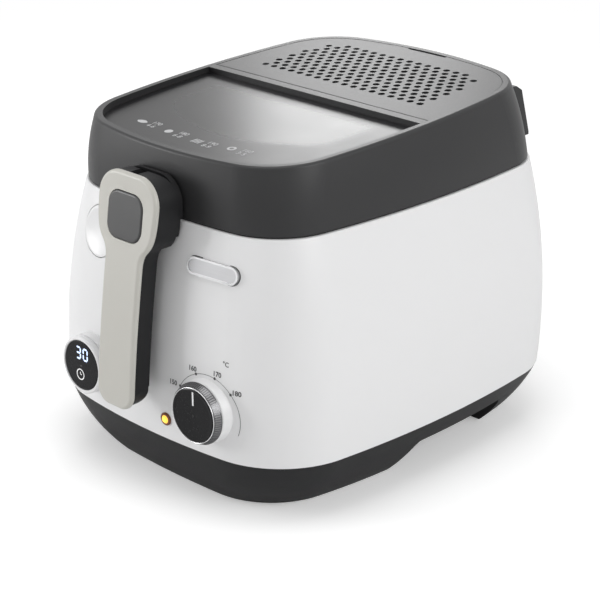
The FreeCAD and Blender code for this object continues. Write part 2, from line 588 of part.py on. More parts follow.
# Hinge: a cover block with a knuckle on the lid, ears and a pin on the body.
hy, hz = val("hinge_y"), val("hinge_z")
bh = val("block_half")
block_out = slab("block_out", [(hy - 28, hz + 0.5), (hy + 9, hz + 0.5), (hy + 9, hz + 3), (hy - 2, hz + 39.5),
                 (hy - 9, hz + 44), (hy - 33, hz + 44)], -bh, bh)
block_in = slab("block_in", [(hy - 28, hz - 14), (hy + 6, hz - 14), (hy + 6, hz + 3), (hy - 5, hz + 38),
                (hy - 10, hz + 41), (hy - 33, hz + 41)], -bh + 3, bh - 3)
knuckle = cyl("lid_knuckle", "dims.barrel_rad", "2 * dims.knuckle_half",
              along_x(-val("knuckle_half"), hy, hz))
web = slab("knuckle_web", [(hy - 4.5, hz), (hy + 3.5, hz), (hy + 1.5, hz + 26), (hy - 4, hz + 39.5),
                           (hy - 18, hz + 42),
           (hy - 18, hz + 12), (hy - 4.5, hz + 8)], -val("knuckle_half"), val("knuckle_half"))
knuckle_bore = cyl("knuckle_bore", "dims.pin_rad + dims.run_gap", "400", along_x(-200, hy, hz))
node("hinge_cover", cut("hinge_cover", fuse("hinge_block", cut("block_hollow", block_out, block_in), web,
                                            knuckle),
     lid_out, knuckle_bore))
ears = []
for side in (-1, 1):
    x0 = val("knuckle_half") + 0.5
    x1 = val("ear_end")
    low = min(side * x0, side * x1)
    ears.append(cyl("ear_barrel", "dims.barrel_rad", "dims.ear_end - dims.knuckle_half - 0.5",
                    along_x(low, hy, hz)))
    ears.append(slab("ear_arm", [(hy - 18, hz - 28), (hy - 0.5, hz - 24), (hy - 0.5, hz), (hy - 5, hz),
                                 (hy - 5, hz - 6),
                     (hy - 18, hz - 6)],
                     low, low + x1 - x0))
pin_bore = cyl("pin_bore", "dims.pin_rad", "400", along_x(-200, hy, hz))
node("hinge_bracket", cut("hinge_bracket", fuse("hinge_ears", *ears), body_out, pin_bore))
node("hinge_pin", cyl("hinge_pin", "dims.pin_rad", "2 * dims.ear_end", along_x(-val("ear_end"), hy, hz)))

# Basket, its hanger strap and the bracket that carries the handle.
bi, bl, bt = val("basket_inset"), val("basket_low_z"), val("basket_top_z")
bw = val("basket_wall")
shell = feature("basket_shell", pan(bl, bi + 5, bt, bi))
shell_core = feature("basket_core", pan(bl + bw, bi + 5 + bw, bt, bi + bw))
node("basket", cut("basket", shell, shell_core))
wire_rad = val("basket_wire")
band = feature("band_out", prism(top_oval(bt, bi - 1.5), Vector(0, 0, 2 * wire_rad)))
band_core = feature("band_core", prism(top_oval(bt, bi + 2.5), Vector(0, 0, 2 * wire_rad)))
node("basket_rim", cut("basket_rim", band, band_core))
rim_y = val("body_top_y") - val("body_top_b") + bi
strap = box("strap_bar", "-dims.strap_half", "dims.bracket_y", "dims.strap_z", "2 * dims.strap_half",
            "%g" % (rim_y - 1.5 - val("bracket_y")), "dims.strap_thick")
drop_bar = box("strap_drop", "-dims.strap_half", "%g" % (rim_y - 4.5), "dims.basket_top_z - 8",
               "2 * dims.strap_half", "3", "dims.strap_z + dims.strap_thick - dims.basket_top_z + 8")
node("basket_hanger", fuse("basket_hanger", strap, drop_bar))

# Handle outline seen from the front, and its curved side profile.
hw, ht, sw, sl = val("head_half"), val("head_top_z"), val("stem_half"), val("stem_low_z")
py_, pz_ = val("pivot_y"), val("pivot_z")
round_r = val("pivot_round")


def handle_outline(grow):
    def half(sign):
        neck = [(sw, pz_ - 58), (sw + 0.6, pz_ - 50.5), (sw + 2.2, pz_ - 46.5), (hw - 7, pz_ - 43),
                (hw - 3.6, pz_ - 38), (hw - 1.6, pz_ - 32), (hw - 0.3, pz_ - 22), (hw, pz_ - 15)]
        pts = [Vector(sign * (x + grow), -260, z) for x, z in neck]
        curve = Part.BSplineCurve()
        curve.interpolate(pts)
        low = 12.5
        tr = val("head_round")
        c = math.sqrt(0.5)
        x1 = sw + grow
        x2 = hw + grow
        z0 = sl - grow
        z1 = ht + grow
        return [Part.makeLine(Vector(0, -260, z0), Vector(sign * (x1 - low), -260, z0)),
                Part.Arc(Vector(sign * (x1 - low), -260, z0),
                         Vector(sign * (x1 - low + low * c), -260, z0 + low - low * c),
                         Vector(sign * x1, -260, z0 + low)).toShape(),
                Part.makeLine(Vector(sign * x1, -260, z0 + low), pts[0]),
                curve.toShape(),
                Part.makeLine(pts[-1], Vector(sign * x2, -260, z1 - tr)),
                Part.Arc(Vector(sign * x2, -260, z1 - tr),
                         Vector(sign * (x2 - tr + tr * c), -260, z1 - tr + tr * c),
                         Vector(sign * (x2 - tr), -260, z1)).toShape(),
                Part.makeLine(Vector(sign * (x2 - tr), -260, z1), Vector(0, -260, z1))]
    edges = half(1) + half(-1)
    wire = Part.Wire(Part.__sortEdges__(edges))
    return prism(wire, Vector(0, 150, 0))


# Front face of the handle as (height, depth) from the pivot.
FACE_LINE = [(-200, -34.4), (-166, -31.9), (-145, -30.4), (-126, -28.6), (-107, -26.5), (-83, -23.4),
             (-60, -20.1),
             (-40, -17.0), (-22, -14.3), (-10, -12.6), (10, -10.5), (24, -9.2)]


def stem_back(dz):
    return val("cover_skin") + val("stem_deep")


def face_slab(name, near, far):
    # Layer between the face line moved back by near(dz) and the same line moved back by far(dz).
    def edge(back):
        curve = Part.BSplineCurve()
        curve.interpolate([Vector(-60, py_ + dy + back(dz), pz_ + dz) for dz, dy in FACE_LINE])
        return curve.toShape()
    caps = []
    for dz, dy in (FACE_LINE[0], FACE_LINE[-1]):
        caps.append(Part.makeLine(Vector(-60, py_ + dy + near(dz), pz_ + dz),
                                  Vector(-60, py_ + dy + far(dz), pz_ + dz)))
    wire = Part.Wire(Part.__sortEdges__([edge(near), edge(far)] + caps))
    return feature(name, prism(wire, Vector(120, 0, 0)))


def at_face(dz):
    return 0.0


def at_skin(dz):
    return val("cover_skin")


def at_deep(dz):
    return 60.0


outline = feature("handle_outline", handle_outline(0.0))
inner_line = feature("handle_inner", handle_outline(-0.8))
thumb_out = Vector(0, -1, 0.14)
thumb_out.normalize()
thumb_frame = frame_of(Vector(0, py_ - 14.3, val("thumb_z")), thumb_out)


def thumb_block(name, grow, low, top):
    w, h, r = val("thumb_wide") / 2 + grow, val("thumb_high") / 2 + grow, val("thumb_round") + grow
    c = math.sqrt(0.5)
    edges = []
    for sx, sz in ((1, 1), (-1, 1), (-1, -1), (1, -1)):
        a = Vector(sx * w, sz * (h - r), low)
        b = Vector(sx * (w - r), sz * h, low)
        m = Vector(sx * (w - r + r * c), sz * (h - r + r * c), low)
        edges.append(Part.Arc(a, m, b).toShape())
    for s in (1, -1):
        edges.append(Part.makeLine(Vector(s * w, h - r, low), Vector(s * w, r - h, low)))
        edges.append(Part.makeLine(Vector(w - r, s * h, low), Vector(r - w, s * h, low)))
    item = feature(name, prism(Part.Wire(Part.__sortEdges__(edges)), Vector(0, 0, top - low)))
    item.Placement = thumb_frame
    return item


thumb_room = thumb_block("thumb_room", val("thumb_gap"), -11.0, 8)
fork_x = "2 * (dims.lug_half + dims.move_gap)"
fork_gap = box("fork_gap", "-dims.lug_half - dims.move_gap", "dims.pivot_y - dims.lug_rad - dims.move_gap",
               "dims.pivot_z - dims.lug_rad - dims.move_gap", fork_x, "60", "60")
doc.recompute()
cover_raw = outline.Shape.common(face_slab("skin_layer", at_face, at_skin).Shape)
broad = sorted(cover_raw.Faces, key=lambda f: -f.Area)[:2]
front_face = min(broad, key=lambda f: f.CenterOfMass.y)
cover_soft = feature("cover_soft", cover_raw.Solids[0].makeFillet(2.4, front_face.OuterWire.Edges))
node("handle_cover", cut("handle_cover", cover_soft, thumb_room))
stem_layer = common("stem_layer", inner_line, face_slab("stem_slab", at_skin, stem_back))
head_zone = box("head_zone", "-100", "-260", "dims.pivot_z - 45", "200",
                "260 + dims.pivot_y + dims.pivot_round", "100")
head_layer = common("head_layer", inner_line, face_slab("head_slab", at_skin, at_deep), head_zone)
corner_box = box("corner_box", "-100", "dims.pivot_y", "dims.pivot_z", "200", "60", "60")
corner_round = cyl("corner_round", "dims.pivot_round", "220", along_x(-110, py_, pz_))
corner = cut("corner", corner_box, corner_round)
# The stem's foot is rounded off behind the cover.
heel_r = val("heel_round")
heel_z = sl + heel_r
heel_y = py_ - 31.3 + val("cover_skin") + val("stem_deep") - heel_r
heel_box = box("heel_box", "-100", "%g" % heel_y, "%g" % (heel_z - 60), "200", "60", "60")
heel = cut("heel", heel_box, cyl("heel_round", "dims.heel_round", "220", along_x(-110, heel_y, heel_z)))
pivot_bore = cyl("pivot_bore", "dims.pin_rad + dims.run_gap", "2 * (dims.head_half - 8)",
                 along_x(-val("head_half") + 8, py_, pz_))
node("handle_shell", cut("handle_shell", fuse("handle_back", stem_layer, head_layer), corner, heel,
                         fork_gap, thumb_room,
     feature("body_clear", body_solid(-1.5)),
     pivot_bore))
thumb_raw = thumb_block("thumb_raw", 0.0, -8.6, 0.9)
thumb_soft = rounded(thumb_raw.Shape, 1.4, lambda c: c.y < thumb_frame.Base.y)
node("handle_button", feature("handle_button", thumb_soft))
node("handle_pin", cyl("handle_pin", "dims.pin_rad", "2 * (dims.head_half - 8.3)",
     along_x(-val("head_half") + 8.3, py_, pz_)))
bracket_face = py_ + round_r + val("move_gap")
plate_zone = feature("bracket_zone", Part.makeBox(200, val("bracket_y") - bracket_face,
                                                  ht - 1 - val("strap_z"),
                     Vector(-100, bracket_face, val("strap_z"))))
thick_zone = feature("bracket_thick", Part.makeBox(200, 2.2, ht - 5 - body_top,
                                                   Vector(-100, val("bracket_y"), body_top + 2.7)))
bracket_line = feature("bracket_line", handle_outline(-1.5))
bracket_plate = common("bracket_plate", bracket_line, fuse("bracket_body", plate_zone, thick_zone))
lug = box("bracket_lug", "-dims.lug_half", "dims.pivot_y", "dims.pivot_z - dims.lug_rad", "2 * dims.lug_half",
          "%g" % (bracket_face - py_), "2 * dims.lug_rad")
lug_end = cyl("lug_end", "dims.lug_rad", "2 * dims.lug_half", along_x(-val("lug_half"), py_, pz_))
lug_bore = cyl("lug_bore", "dims.pin_rad", "400", along_x(-200, py_, pz_))
node("handle_bracket", cut("handle_bracket", fuse("bracket", bracket_plate, lug, lug_end), lug_bore))

doc.recompute()
for item in doc.Objects:
    if "Invalid" in item.State or "Error" in item.State:
        raise RuntimeError("%s is %s" % (item.Name, item.State))
os.makedirs("parts", exist_ok=True)
for name, item in nodes.items():
    shape = item.Shape
    if shape.isNull() or not shape.isValid() or not shape.Solids:
        raise RuntimeError("bad shape: " + name)
    shape.exportStep("parts/%s.step" % name)
    box_ = shape.BoundBox
    print("%-18s solids %d volume %10.1f  x %7.1f %7.1f  y %7.1f %7.1f  z %7.1f %7.1f" % (
        name, len(shape.Solids), shape.Volume, box_.XMin, box_.XMax, box_.YMin, box_.YMax, box_.ZMin,
        box_.ZMax))
for label, place in (("knob", knob_frame), ("timer", timer_frame), ("release", release_frame),
                     ("thumb", thumb_frame), ("pilot", pilot_frame), ("plate", plate_frame)):
    print(label, place.Base, place.Rotation.multVec(Vector(0, 0, 1)))
print("cover axis", top_turn.multVec(Vector(0, axis_v, axis_w)))
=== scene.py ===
# %% [markdown]
# # A deep fryer, dressed around its CAD frame
# The solids come packed from CAD, with every hinge and slide in place. Blender gives them their finishes
# and adds what a solid model leaves out: woven wire, knurling, printed figures and a lit display.

# %% Load the frame
import json
import math

import bmesh
import bpy
from mathutils import Matrix, Vector
from mathutils.bvhtree import BVHTree


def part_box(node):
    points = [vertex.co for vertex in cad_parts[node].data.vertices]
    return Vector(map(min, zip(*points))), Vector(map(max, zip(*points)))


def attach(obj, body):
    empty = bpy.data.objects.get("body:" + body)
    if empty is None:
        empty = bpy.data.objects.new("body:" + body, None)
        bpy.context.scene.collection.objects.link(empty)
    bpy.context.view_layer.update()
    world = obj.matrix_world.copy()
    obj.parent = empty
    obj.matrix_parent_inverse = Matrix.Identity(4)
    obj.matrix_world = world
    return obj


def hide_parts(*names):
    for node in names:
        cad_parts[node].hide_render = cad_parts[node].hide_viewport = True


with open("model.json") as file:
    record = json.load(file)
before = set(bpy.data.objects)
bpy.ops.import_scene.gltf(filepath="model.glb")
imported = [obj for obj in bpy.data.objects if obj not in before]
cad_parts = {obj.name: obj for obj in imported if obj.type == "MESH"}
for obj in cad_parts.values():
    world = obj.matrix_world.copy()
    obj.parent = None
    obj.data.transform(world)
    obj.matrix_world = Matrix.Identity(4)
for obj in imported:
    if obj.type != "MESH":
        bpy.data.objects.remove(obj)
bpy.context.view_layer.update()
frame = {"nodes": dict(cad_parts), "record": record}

MM = 0.001
scene = bpy.context.scene
cad = frame["nodes"]
print("CAD nodes:", len(cad))

# %% [markdown]
# ## The camera
# The photograph was taken with a long lens from the front right corner, a little above the lid. The
# angle, distance and focal length were solved from the outline, so the render lines up with the picture.

# %% Camera
CAMERA_AZIMUTH = math.radians(44.713)
CAMERA_HEIGHT = math.radians(21.13)
CAMERA_REACH = 1.4465
CAMERA_TARGET = Vector((0.0, 0.0, 0.126))
SENSOR_WIDTH = 36.0
FOCAL_LENGTH = 110.5
LENS_SHIFT = (-0.0127, -0.0511)

lens = bpy.data.cameras.new("camera")
lens.sensor_width = SENSOR_WIDTH
lens.lens = FOCAL_LENGTH
lens.shift_x, lens.shift_y = LENS_SHIFT
camera = bpy.data.objects.new("camera", lens)
scene.collection.objects.link(camera)
outward = Vector((math.sin(CAMERA_AZIMUTH) * math.cos(CAMERA_HEIGHT),
                  -math.cos(CAMERA_AZIMUTH) * math.cos(CAMERA_HEIGHT),
                  math.sin(CAMERA_HEIGHT)))
camera.location = CAMERA_TARGET + CAMERA_REACH * outward
camera.rotation_mode = "QUATERNION"
camera.rotation_quaternion = (-outward).to_track_quat("-Z", "Y")
scene.camera = camera
print("camera at", [round(c, 3) for c in camera.location])

# %% [markdown]
# ## White surround
# A white appliance in a white room keeps its edges only if the light on it is uneven. The room is seen as
# pure white but lights the part with less than half of that. More lamps would only burn the shell out, so
# a Light Path node tells the two apart: rays from the camera, and mirrored or refracted ones, meet the
# white.

# %% Surround
WHITE = (1.0, 1.0, 1.0, 1.0)
AMBIENT = 0.40


def math_node(tree, operation, *values):
    # A value is a number or the output of another node.
    node = tree.nodes.new("ShaderNodeMath")
    node.operation = operation
    for socket, value in zip(node.inputs, values):
        if isinstance(value, (int, float)):
            socket.default_value = value
        else:
            tree.links.new(value, socket)
    return node.outputs[0]


def mixed_shader(tree, factor, first, second):
    mix = tree.nodes.new("ShaderNodeMixShader")
    tree.links.new(factor, mix.inputs["Fac"])
    tree.links.new(first, mix.inputs[1])
    tree.links.new(second, mix.inputs[2])
    return mix.outputs[0]


scene.view_settings.view_transform = "Standard"
world = bpy.data.worlds.new("studio")
scene.world = world
world.use_nodes = True
room = world.node_tree
room.nodes.clear()
seen = room.nodes.new("ShaderNodeBackground")
seen.inputs["Color"].default_value = WHITE
ambient = room.nodes.new("ShaderNodeBackground")
ambient.inputs["Color"].default_value = WHITE
ambient.inputs["Strength"].default_value = AMBIENT
rays = room.nodes.new("ShaderNodeLightPath").outputs
straight = math_node(room, "MAXIMUM", rays["Is Camera Ray"], rays["Is Transmission Ray"])
sight = math_node(room, "MAXIMUM", straight, rays["Is Glossy Ray"])
room_out = room.nodes.new("ShaderNodeOutputWorld")
room.links.new(mixed_shader(room, sight, ambient.outputs[0], seen.outputs[0]), room_out.inputs["Surface"])
print("surround lights the part at", AMBIENT)

# %% [markdown]
# ## Floor
# The fryer stands on a white table that takes a soft shadow, so the floor is a real matte surface. A
# little glow, seen by the camera alone, lifts it to paper white. Further out it fades to plain white,
# which leaves no horizon in a low view.

# %% Floor
FLOOR_HALF = 6.0
FLOOR_TONE = 0.92
FLOOR_GLOW = 0.30
FADE_START = 0.5
FADE_END = 1.6


def mesh_of(name, points, faces):
    mesh = bpy.data.meshes.new(name)
    mesh.from_pydata(points, [], faces)
    return mesh


floor_finish = bpy.data.materials.new("floor_white")
floor_finish.use_nodes = True
ground = floor_finish.node_tree
ground.nodes.clear()
camera_ray = ground.nodes.new("ShaderNodeLightPath").outputs["Is Camera Ray"]
matte = ground.nodes.new("ShaderNodeBsdfDiffuse")
matte.inputs["Color"].default_value = (FLOOR_TONE, FLOOR_TONE, FLOOR_TONE, 1.0)
glow = ground.nodes.new("ShaderNodeEmission")
ground.links.new(math_node(ground, "MULTIPLY", camera_ray, FLOOR_GLOW), glow.inputs["Strength"])
near = ground.nodes.new("ShaderNodeAddShader")
ground.links.new(matte.outputs[0], near.inputs[0])
ground.links.new(glow.outputs[0], near.inputs[1])
spot = ground.nodes.new("ShaderNodeTexCoord")
distance = ground.nodes.new("ShaderNodeVectorMath")
distance.operation = "LENGTH"
ground.links.new(spot.outputs["Object"], distance.inputs[0])
fade = ground.nodes.new("ShaderNodeMapRange")
fade.interpolation_type = "SMOOTHSTEP"
fade.inputs["From Min"].default_value = FADE_START
fade.inputs["From Max"].default_value = FADE_END
ground.links.new(distance.outputs["Value"], fade.inputs["Value"])
far = math_node(ground, "MULTIPLY", fade.outputs["Result"], camera_ray)
white = ground.nodes.new("ShaderNodeEmission")
white.inputs["Color"].default_value = WHITE
ground_out = ground.nodes.new("ShaderNodeOutputMaterial")
ground.links.new(mixed_shader(ground, far, near.outputs[0], white.outputs[0]), ground_out.inputs["Surface"])
corners = [(-FLOOR_HALF, -FLOOR_HALF, 0.0), (FLOOR_HALF, -FLOOR_HALF, 0.0),
           (FLOOR_HALF, FLOOR_HALF, 0.0), (-FLOOR_HALF, FLOOR_HALF, 0.0)]
floor_mesh = mesh_of("floor", corners, [(0, 1, 2, 3)])
floor_mesh.materials.append(floor_finish)
floor = bpy.data.objects.new("floor", floor_mesh)
scene.collection.objects.link(floor)
print("floor:", 2 * FLOOR_HALF, "m across")

# %% [markdown]
# ## Lamps
# Two soft boxes at the left front, one high and one low, shape the body and give the dark lid its sheen.
# One at the right lights the long side and one overhead fills the top. The smallest stands behind the
# lid, just where the window mirrors it towards the camera, because a smoked pane shows little but what it
# mirrors.

# %% Soft boxes
BODY_MIDDLE = (0.0, 0.0, 0.12)
BODY_HIGH = (0.0, 0.0, 0.2)
LID_FRONT = (0.0, -0.05, 0.2)
WINDOW_MIDDLE = (0.077, -0.013, 0.263)
# Each lamp has a name, a place, an aim, a width, a height and a power.
LAMPS = (
    ("key_left", (-2.0, -1.7, 1.3), BODY_MIDDLE, 1.4, 1.2, 13.0),
    ("low_left", (-1.6, -1.6, 0.45), LID_FRONT, 0.9, 0.6, 14.0),
    ("side_right", (2.3, 0.2, 1.2), BODY_MIDDLE, 1.4, 1.4, 24.0),
    ("overhead", (0.0, -0.2, 2.2), BODY_HIGH, 1.6, 1.6, 14.0),
    ("lid_sheen", (-1.22, 1.32, 0.99), WINDOW_MIDDLE, 0.42, 0.40, 3.9),
)


def soft_box(name, place, aim, wide, high, power):
    data = bpy.data.lights.new(name, "AREA")
    data.shape = "RECTANGLE"
    data.size = wide
    data.size_y = high
    data.energy = power
    lamp = bpy.data.objects.new(name, data)
    lamp.location = place
    lamp.rotation_mode = "QUATERNION"
    lamp.rotation_quaternion = (Vector(aim) - Vector(place)).to_track_quat("-Z", "Y")
    scene.collection.objects.link(lamp)


for lamp_row in LAMPS:
    soft_box(*lamp_row)
print("lamps:", len(LAMPS))

# %% [markdown]
# ## Moulded plastic and rubber
# Moulded plastic is never perfectly even: a fine grain breaks up its gloss and its colour drifts by a
# percent or two. An image could hold that, but it would need unwrapping. Two noises on Object coordinates
# need none, so one helper builds every moulded finish from them.

# %% Helper for moulded finishes
DRIFT_SCALE = 14.0
DRIFT_DETAIL = 3.0
GRAIN_DETAIL = 2.0
GRAIN_STRENGTH = 0.6
SMOOTHEST = 0.02


def new_finish(name):
    mat = bpy.data.materials.new(name)
    mat.use_nodes = True
    shader = mat.node_tree.nodes["Principled BSDF"]
    return mat, mat.node_tree, shader


def noise_on(tree, scale, detail):
    place = tree.nodes.new("ShaderNodeTexCoord")
    noise = tree.nodes.new("ShaderNodeTexNoise")
    noise.inputs["Scale"].default_value = scale
    noise.inputs["Detail"].default_value = detail
    tree.links.new(place.outputs["Object"], noise.inputs["Vector"])
    return noise.outputs["Fac"]


def blend_colour(tree, shader, factor, first, second):
    tint = tree.nodes.new("ShaderNodeMix")
    tint.data_type = "RGBA"
    tint.inputs["A"].default_value = (*first, 1.0)
    tint.inputs["B"].default_value = (*second, 1.0)
    tree.links.new(factor, tint.inputs["Factor"])
    tree.links.new(tint.outputs["Result"], shader.inputs["Base Color"])


def vary_roughness(tree, shader, factor, low, high):
    span = tree.nodes.new("ShaderNodeMapRange")
    span.inputs["To Min"].default_value = low
    span.inputs["To Max"].default_value = high
    tree.links.new(factor, span.inputs["Value"])
    tree.links.new(span.outputs["Result"], shader.inputs["Roughness"])


def moulded(name, colour, rough, spread=0.05, drift=0.04, grain=900.0, depth=0.00002, shine=0.5):
    mat, tree, shader = new_finish(name)
    shader.inputs["Specular IOR Level"].default_value = shine
    darker = [c * (1 - drift) for c in colour]
    lighter = [min(1.0, c * (1 + drift)) for c in colour]
    blend_colour(tree, shader, noise_on(tree, DRIFT_SCALE, DRIFT_DETAIL), darker, lighter)
    fine = noise_on(tree, grain, GRAIN_DETAIL)
    vary_roughness(tree, shader, fine, max(SMOOTHEST, rough - spread), min(1.0, rough + spread))
    bump = tree.nodes.new("ShaderNodeBump")
    bump.inputs["Distance"].default_value = depth
    bump.inputs["Strength"].default_value = GRAIN_STRENGTH
    tree.links.new(fine, bump.inputs["Height"])
    tree.links.new(bump.outputs["Normal"], shader.inputs["Normal"])
    return mat


print("grain is bumped at strength", GRAIN_STRENGTH)

# %% Moulded finishes
MOULDED = {
    "white_shell": dict(colour=(0.80, 0.80, 0.805), rough=0.28, spread=0.0, drift=0.006, grain=300.0,
                        depth=0.000003),
    "dark_plastic": dict(colour=(0.024, 0.024, 0.025), rough=0.40, drift=0.06, depth=0.00003, shine=0.36),
    # Darker than dark_plastic: on the base tray this is painted shade, for the shade it sits in by the
    # floor.
    "darker_tone_and_painted_shade": dict(colour=(0.016, 0.016, 0.017), rough=0.44, drift=0.06, depth=0.00003, shine=0.2),
    "button_dark": dict(colour=(0.040, 0.040, 0.041), rough=0.30, drift=0.05, depth=0.00001),
    "grey_handle": dict(colour=(0.52, 0.51, 0.47), rough=0.36, drift=0.02, depth=0.000012),
    "black_plastic": dict(colour=(0.008, 0.008, 0.009), rough=0.26, depth=0.000006, shine=0.16),
    "white_mark": dict(colour=(0.85, 0.85, 0.85), rough=0.5),
    "pilot_rim": dict(colour=(0.16, 0.045, 0.012), rough=0.25),
    "tub_coat": dict(colour=(0.045, 0.045, 0.047), rough=0.35, drift=0.12, grain=1600.0, depth=0.00004),
    "soft_rubber": dict(colour=(0.022, 0.022, 0.022), rough=0.72, depth=0.00005),
    "seal_rubber": dict(colour=(0.05, 0.05, 0.05), rough=0.6, depth=0.00003),
    "foam": dict(colour=(0.028, 0.028, 0.028), rough=0.95, drift=0.5, grain=420.0, depth=0.0006),
    "charcoal": dict(colour=(0.014, 0.014, 0.014), rough=0.95, drift=0.4, grain=700.0, depth=0.0004),
    "beige_plastic": dict(colour=(0.55, 0.50, 0.40), rough=0.5),
    "board_green": dict(colour=(0.03, 0.16, 0.07), rough=0.35, drift=0.15),
}
finishes = {name: moulded(name, **look) for name, look in MOULDED.items()}
print("moulded finishes:", len(finishes))

# %% [markdown]
# ## Drawn metal
# The basket, the pins and the bright trim are metal that was drawn or brushed in one direction.
# Stretching one noise along the drawing lines shows that in both colour and gloss, and costs less than an
# anisotropic shader.

# %% Brushed finishes
LINE_SCALE = 60.0
LINE_DETAIL = 3.0
LINE_DARK = 0.88
LINE_GLOSS = (0.7, 1.3)


def brushed(name, colour, rough, stretch):
    mat, tree, shader = new_finish(name)
    shader.inputs["Metallic"].default_value = 1.0
    place = tree.nodes.new("ShaderNodeTexCoord")
    squeeze = tree.nodes.new("ShaderNodeMapping")
    squeeze.inputs["Scale"].default_value = stretch
    tree.links.new(place.outputs["Object"], squeeze.inputs["Vector"])
    lines = tree.nodes.new("ShaderNodeTexNoise")
    lines.inputs["Scale"].default_value = LINE_SCALE
    lines.inputs["Detail"].default_value = LINE_DETAIL
    tree.links.new(squeeze.outputs["Vector"], lines.inputs["Vector"])
    blend_colour(tree, shader, lines.outputs["Fac"], [c * LINE_DARK for c in colour], colour)
    vary_roughness(tree, shader, lines.outputs["Fac"], rough * LINE_GLOSS[0], rough * LINE_GLOSS[1])
    return mat


finishes["knob_silver"] = brushed("knob_silver", (0.80, 0.80, 0.81), 0.18, (1.0, 1.0, 14.0))
finishes["plate_silver"] = brushed("plate_silver", (0.60, 0.60, 0.61), 0.30, (1.0, 1.0, 20.0))
finishes["steel"] = brushed("steel", (0.62, 0.62, 0.63), 0.28, (1.0, 1.0, 10.0))
finishes["element_steel"] = brushed("element_steel", (0.34, 0.31, 0.29), 0.4, (6.0, 1.0, 1.0))
print("finishes with metal:", len(finishes))

# %% [markdown]
# ## Smoked window
# The lid's pane is dark and clear in its middle, with a slightly frosted border printed from behind. A
# second pane could carry the border, but only the gloss changes, so one material draws the clear part's
# outline from Object coordinates: a straight rear edge, two sides, and a front that curves back at the
# corners.

# %% Window finish
CLEAR_FRONT = -0.101
CLEAR_BEND = 4.5
CLEAR_SIDE = 0.087
CLEAR_REAR = -0.012
CORNER_BLEND = 0.025
REAR_BLEND = 0.008
BORDER_INSIDE = -0.010
BORDER_OUTSIDE = 0.003
WINDOW_SHINE = 0.24
HAZE_SCALE = 30.0
HAZE_DETAIL = 2.0
HAZE_GLOSS = 0.04
HAZE_DARK = 0.9
CLEAR_ROUGH = 0.24
BORDER_ROUGH = 0.28
SEE_THROUGH = 0.15


def clear_outline(tree):
    # Below zero inside the clear part, above zero outside it.
    place = tree.nodes.new("ShaderNodeTexCoord")
    split = tree.nodes.new("ShaderNodeSeparateXYZ")
    tree.links.new(place.outputs["Object"], split.inputs[0])
    x, y = split.outputs["X"], split.outputs["Y"]
    bend = math_node(tree, "MULTIPLY", math_node(tree, "MULTIPLY", x, x), CLEAR_BEND)
    front = math_node(tree, "SUBTRACT", math_node(tree, "ADD", bend, CLEAR_FRONT), y)
    side = math_node(tree, "SUBTRACT", math_node(tree, "ABSOLUTE", x), CLEAR_SIDE)
    rear = math_node(tree, "SUBTRACT", y, CLEAR_REAR)
    corner = math_node(tree, "SMOOTH_MAX", front, side, CORNER_BLEND)
    return math_node(tree, "SMOOTH_MAX", corner, rear, REAR_BLEND)


def smoked(name, colour):
    mat, tree, shader = new_finish(name)
    shader.inputs["Transmission Weight"].default_value = SEE_THROUGH
    shader.inputs["Specular IOR Level"].default_value = WINDOW_SHINE
    border = tree.nodes.new("ShaderNodeMapRange")
    border.interpolation_type = "SMOOTHSTEP"
    border.inputs["From Min"].default_value = BORDER_INSIDE
    border.inputs["From Max"].default_value = BORDER_OUTSIDE
    border.inputs["To Min"].default_value = CLEAR_ROUGH
    border.inputs["To Max"].default_value = BORDER_ROUGH
    tree.links.new(clear_outline(tree), border.inputs["Value"])
    haze = noise_on(tree, HAZE_SCALE, HAZE_DETAIL)
    uneven = math_node(tree, "MULTIPLY_ADD", haze, HAZE_GLOSS, border.outputs["Result"])
    tree.links.new(uneven, shader.inputs["Roughness"])
    blend_colour(tree, shader, haze, [c * HAZE_DARK for c in colour], colour)
    return mat


finishes["smoke_window"] = smoked("smoke_window", (0.010, 0.010, 0.011))
print("window lets through", SEE_THROUGH)

# %% [markdown]
# ## Lit pieces, and a finish for every solid
# The pilot lens and the display give off light of their own. A lamp inside would need a hollow lens, so
# the shader's emission does it, at a strength that doesn't burn out. Then each solid takes the finish of
# its slot in the record, and four dark pieces take one of the two darker plastics. The one on the base
# tray, the handle's shell and its bracket is darker than the lid's plastic. On the base tray that is
# painted shade, for the shade the tray sits in by the floor.

# %% Finishes on the solids
LIT_ROUGH = 0.3


def lit(name, colour, glow_colour, strength):
    mat = moulded(name, colour, LIT_ROUGH)
    shader = mat.node_tree.nodes["Principled BSDF"]
    shader.inputs["Emission Color"].default_value = (*glow_colour, 1.0)
    shader.inputs["Emission Strength"].default_value = strength
    return mat


finishes["pilot_amber"] = lit("pilot_amber", (0.95, 0.55, 0.06), (1.0, 0.62, 0.10), 0.9)
# The base tray's darker plastic carries painted shade; the handle's shell and bracket share it.
DARKER_PIECES = {"base_tray": "darker_tone_and_painted_shade", "handle_shell": "darker_tone_and_painted_shade", "handle_bracket": "darker_tone_and_painted_shade",
                 "handle_button": "button_dark"}
for part in frame["record"]["subparts"]:
    mesh = cad[part["node"]].data
    mesh.materials.clear()
    mesh.materials.append(finishes[DARKER_PIECES.get(part["node"], part["material_slot"])])
print("finishes:", len(finishes))

# %% [markdown]
# ## Working frames
# The dial and the display sit on a curved front, each square to the surface under it. A small matrix per
# control lets the figures be drawn flat, in millimetres, and then stood in place.

# %% Frames for the controls and the lid
def frame_on(base, outside):
    outside = Vector(outside).normalized()
    side = Vector((0.0, 0.0, 1.0)).cross(outside).normalized()
    rise = outside.cross(side)
    turn = Matrix((side, rise, outside)).transposed().to_4x4()
    return Matrix.Translation(Vector(base) * MM) @ turn @ Matrix.Scale(MM, 4)


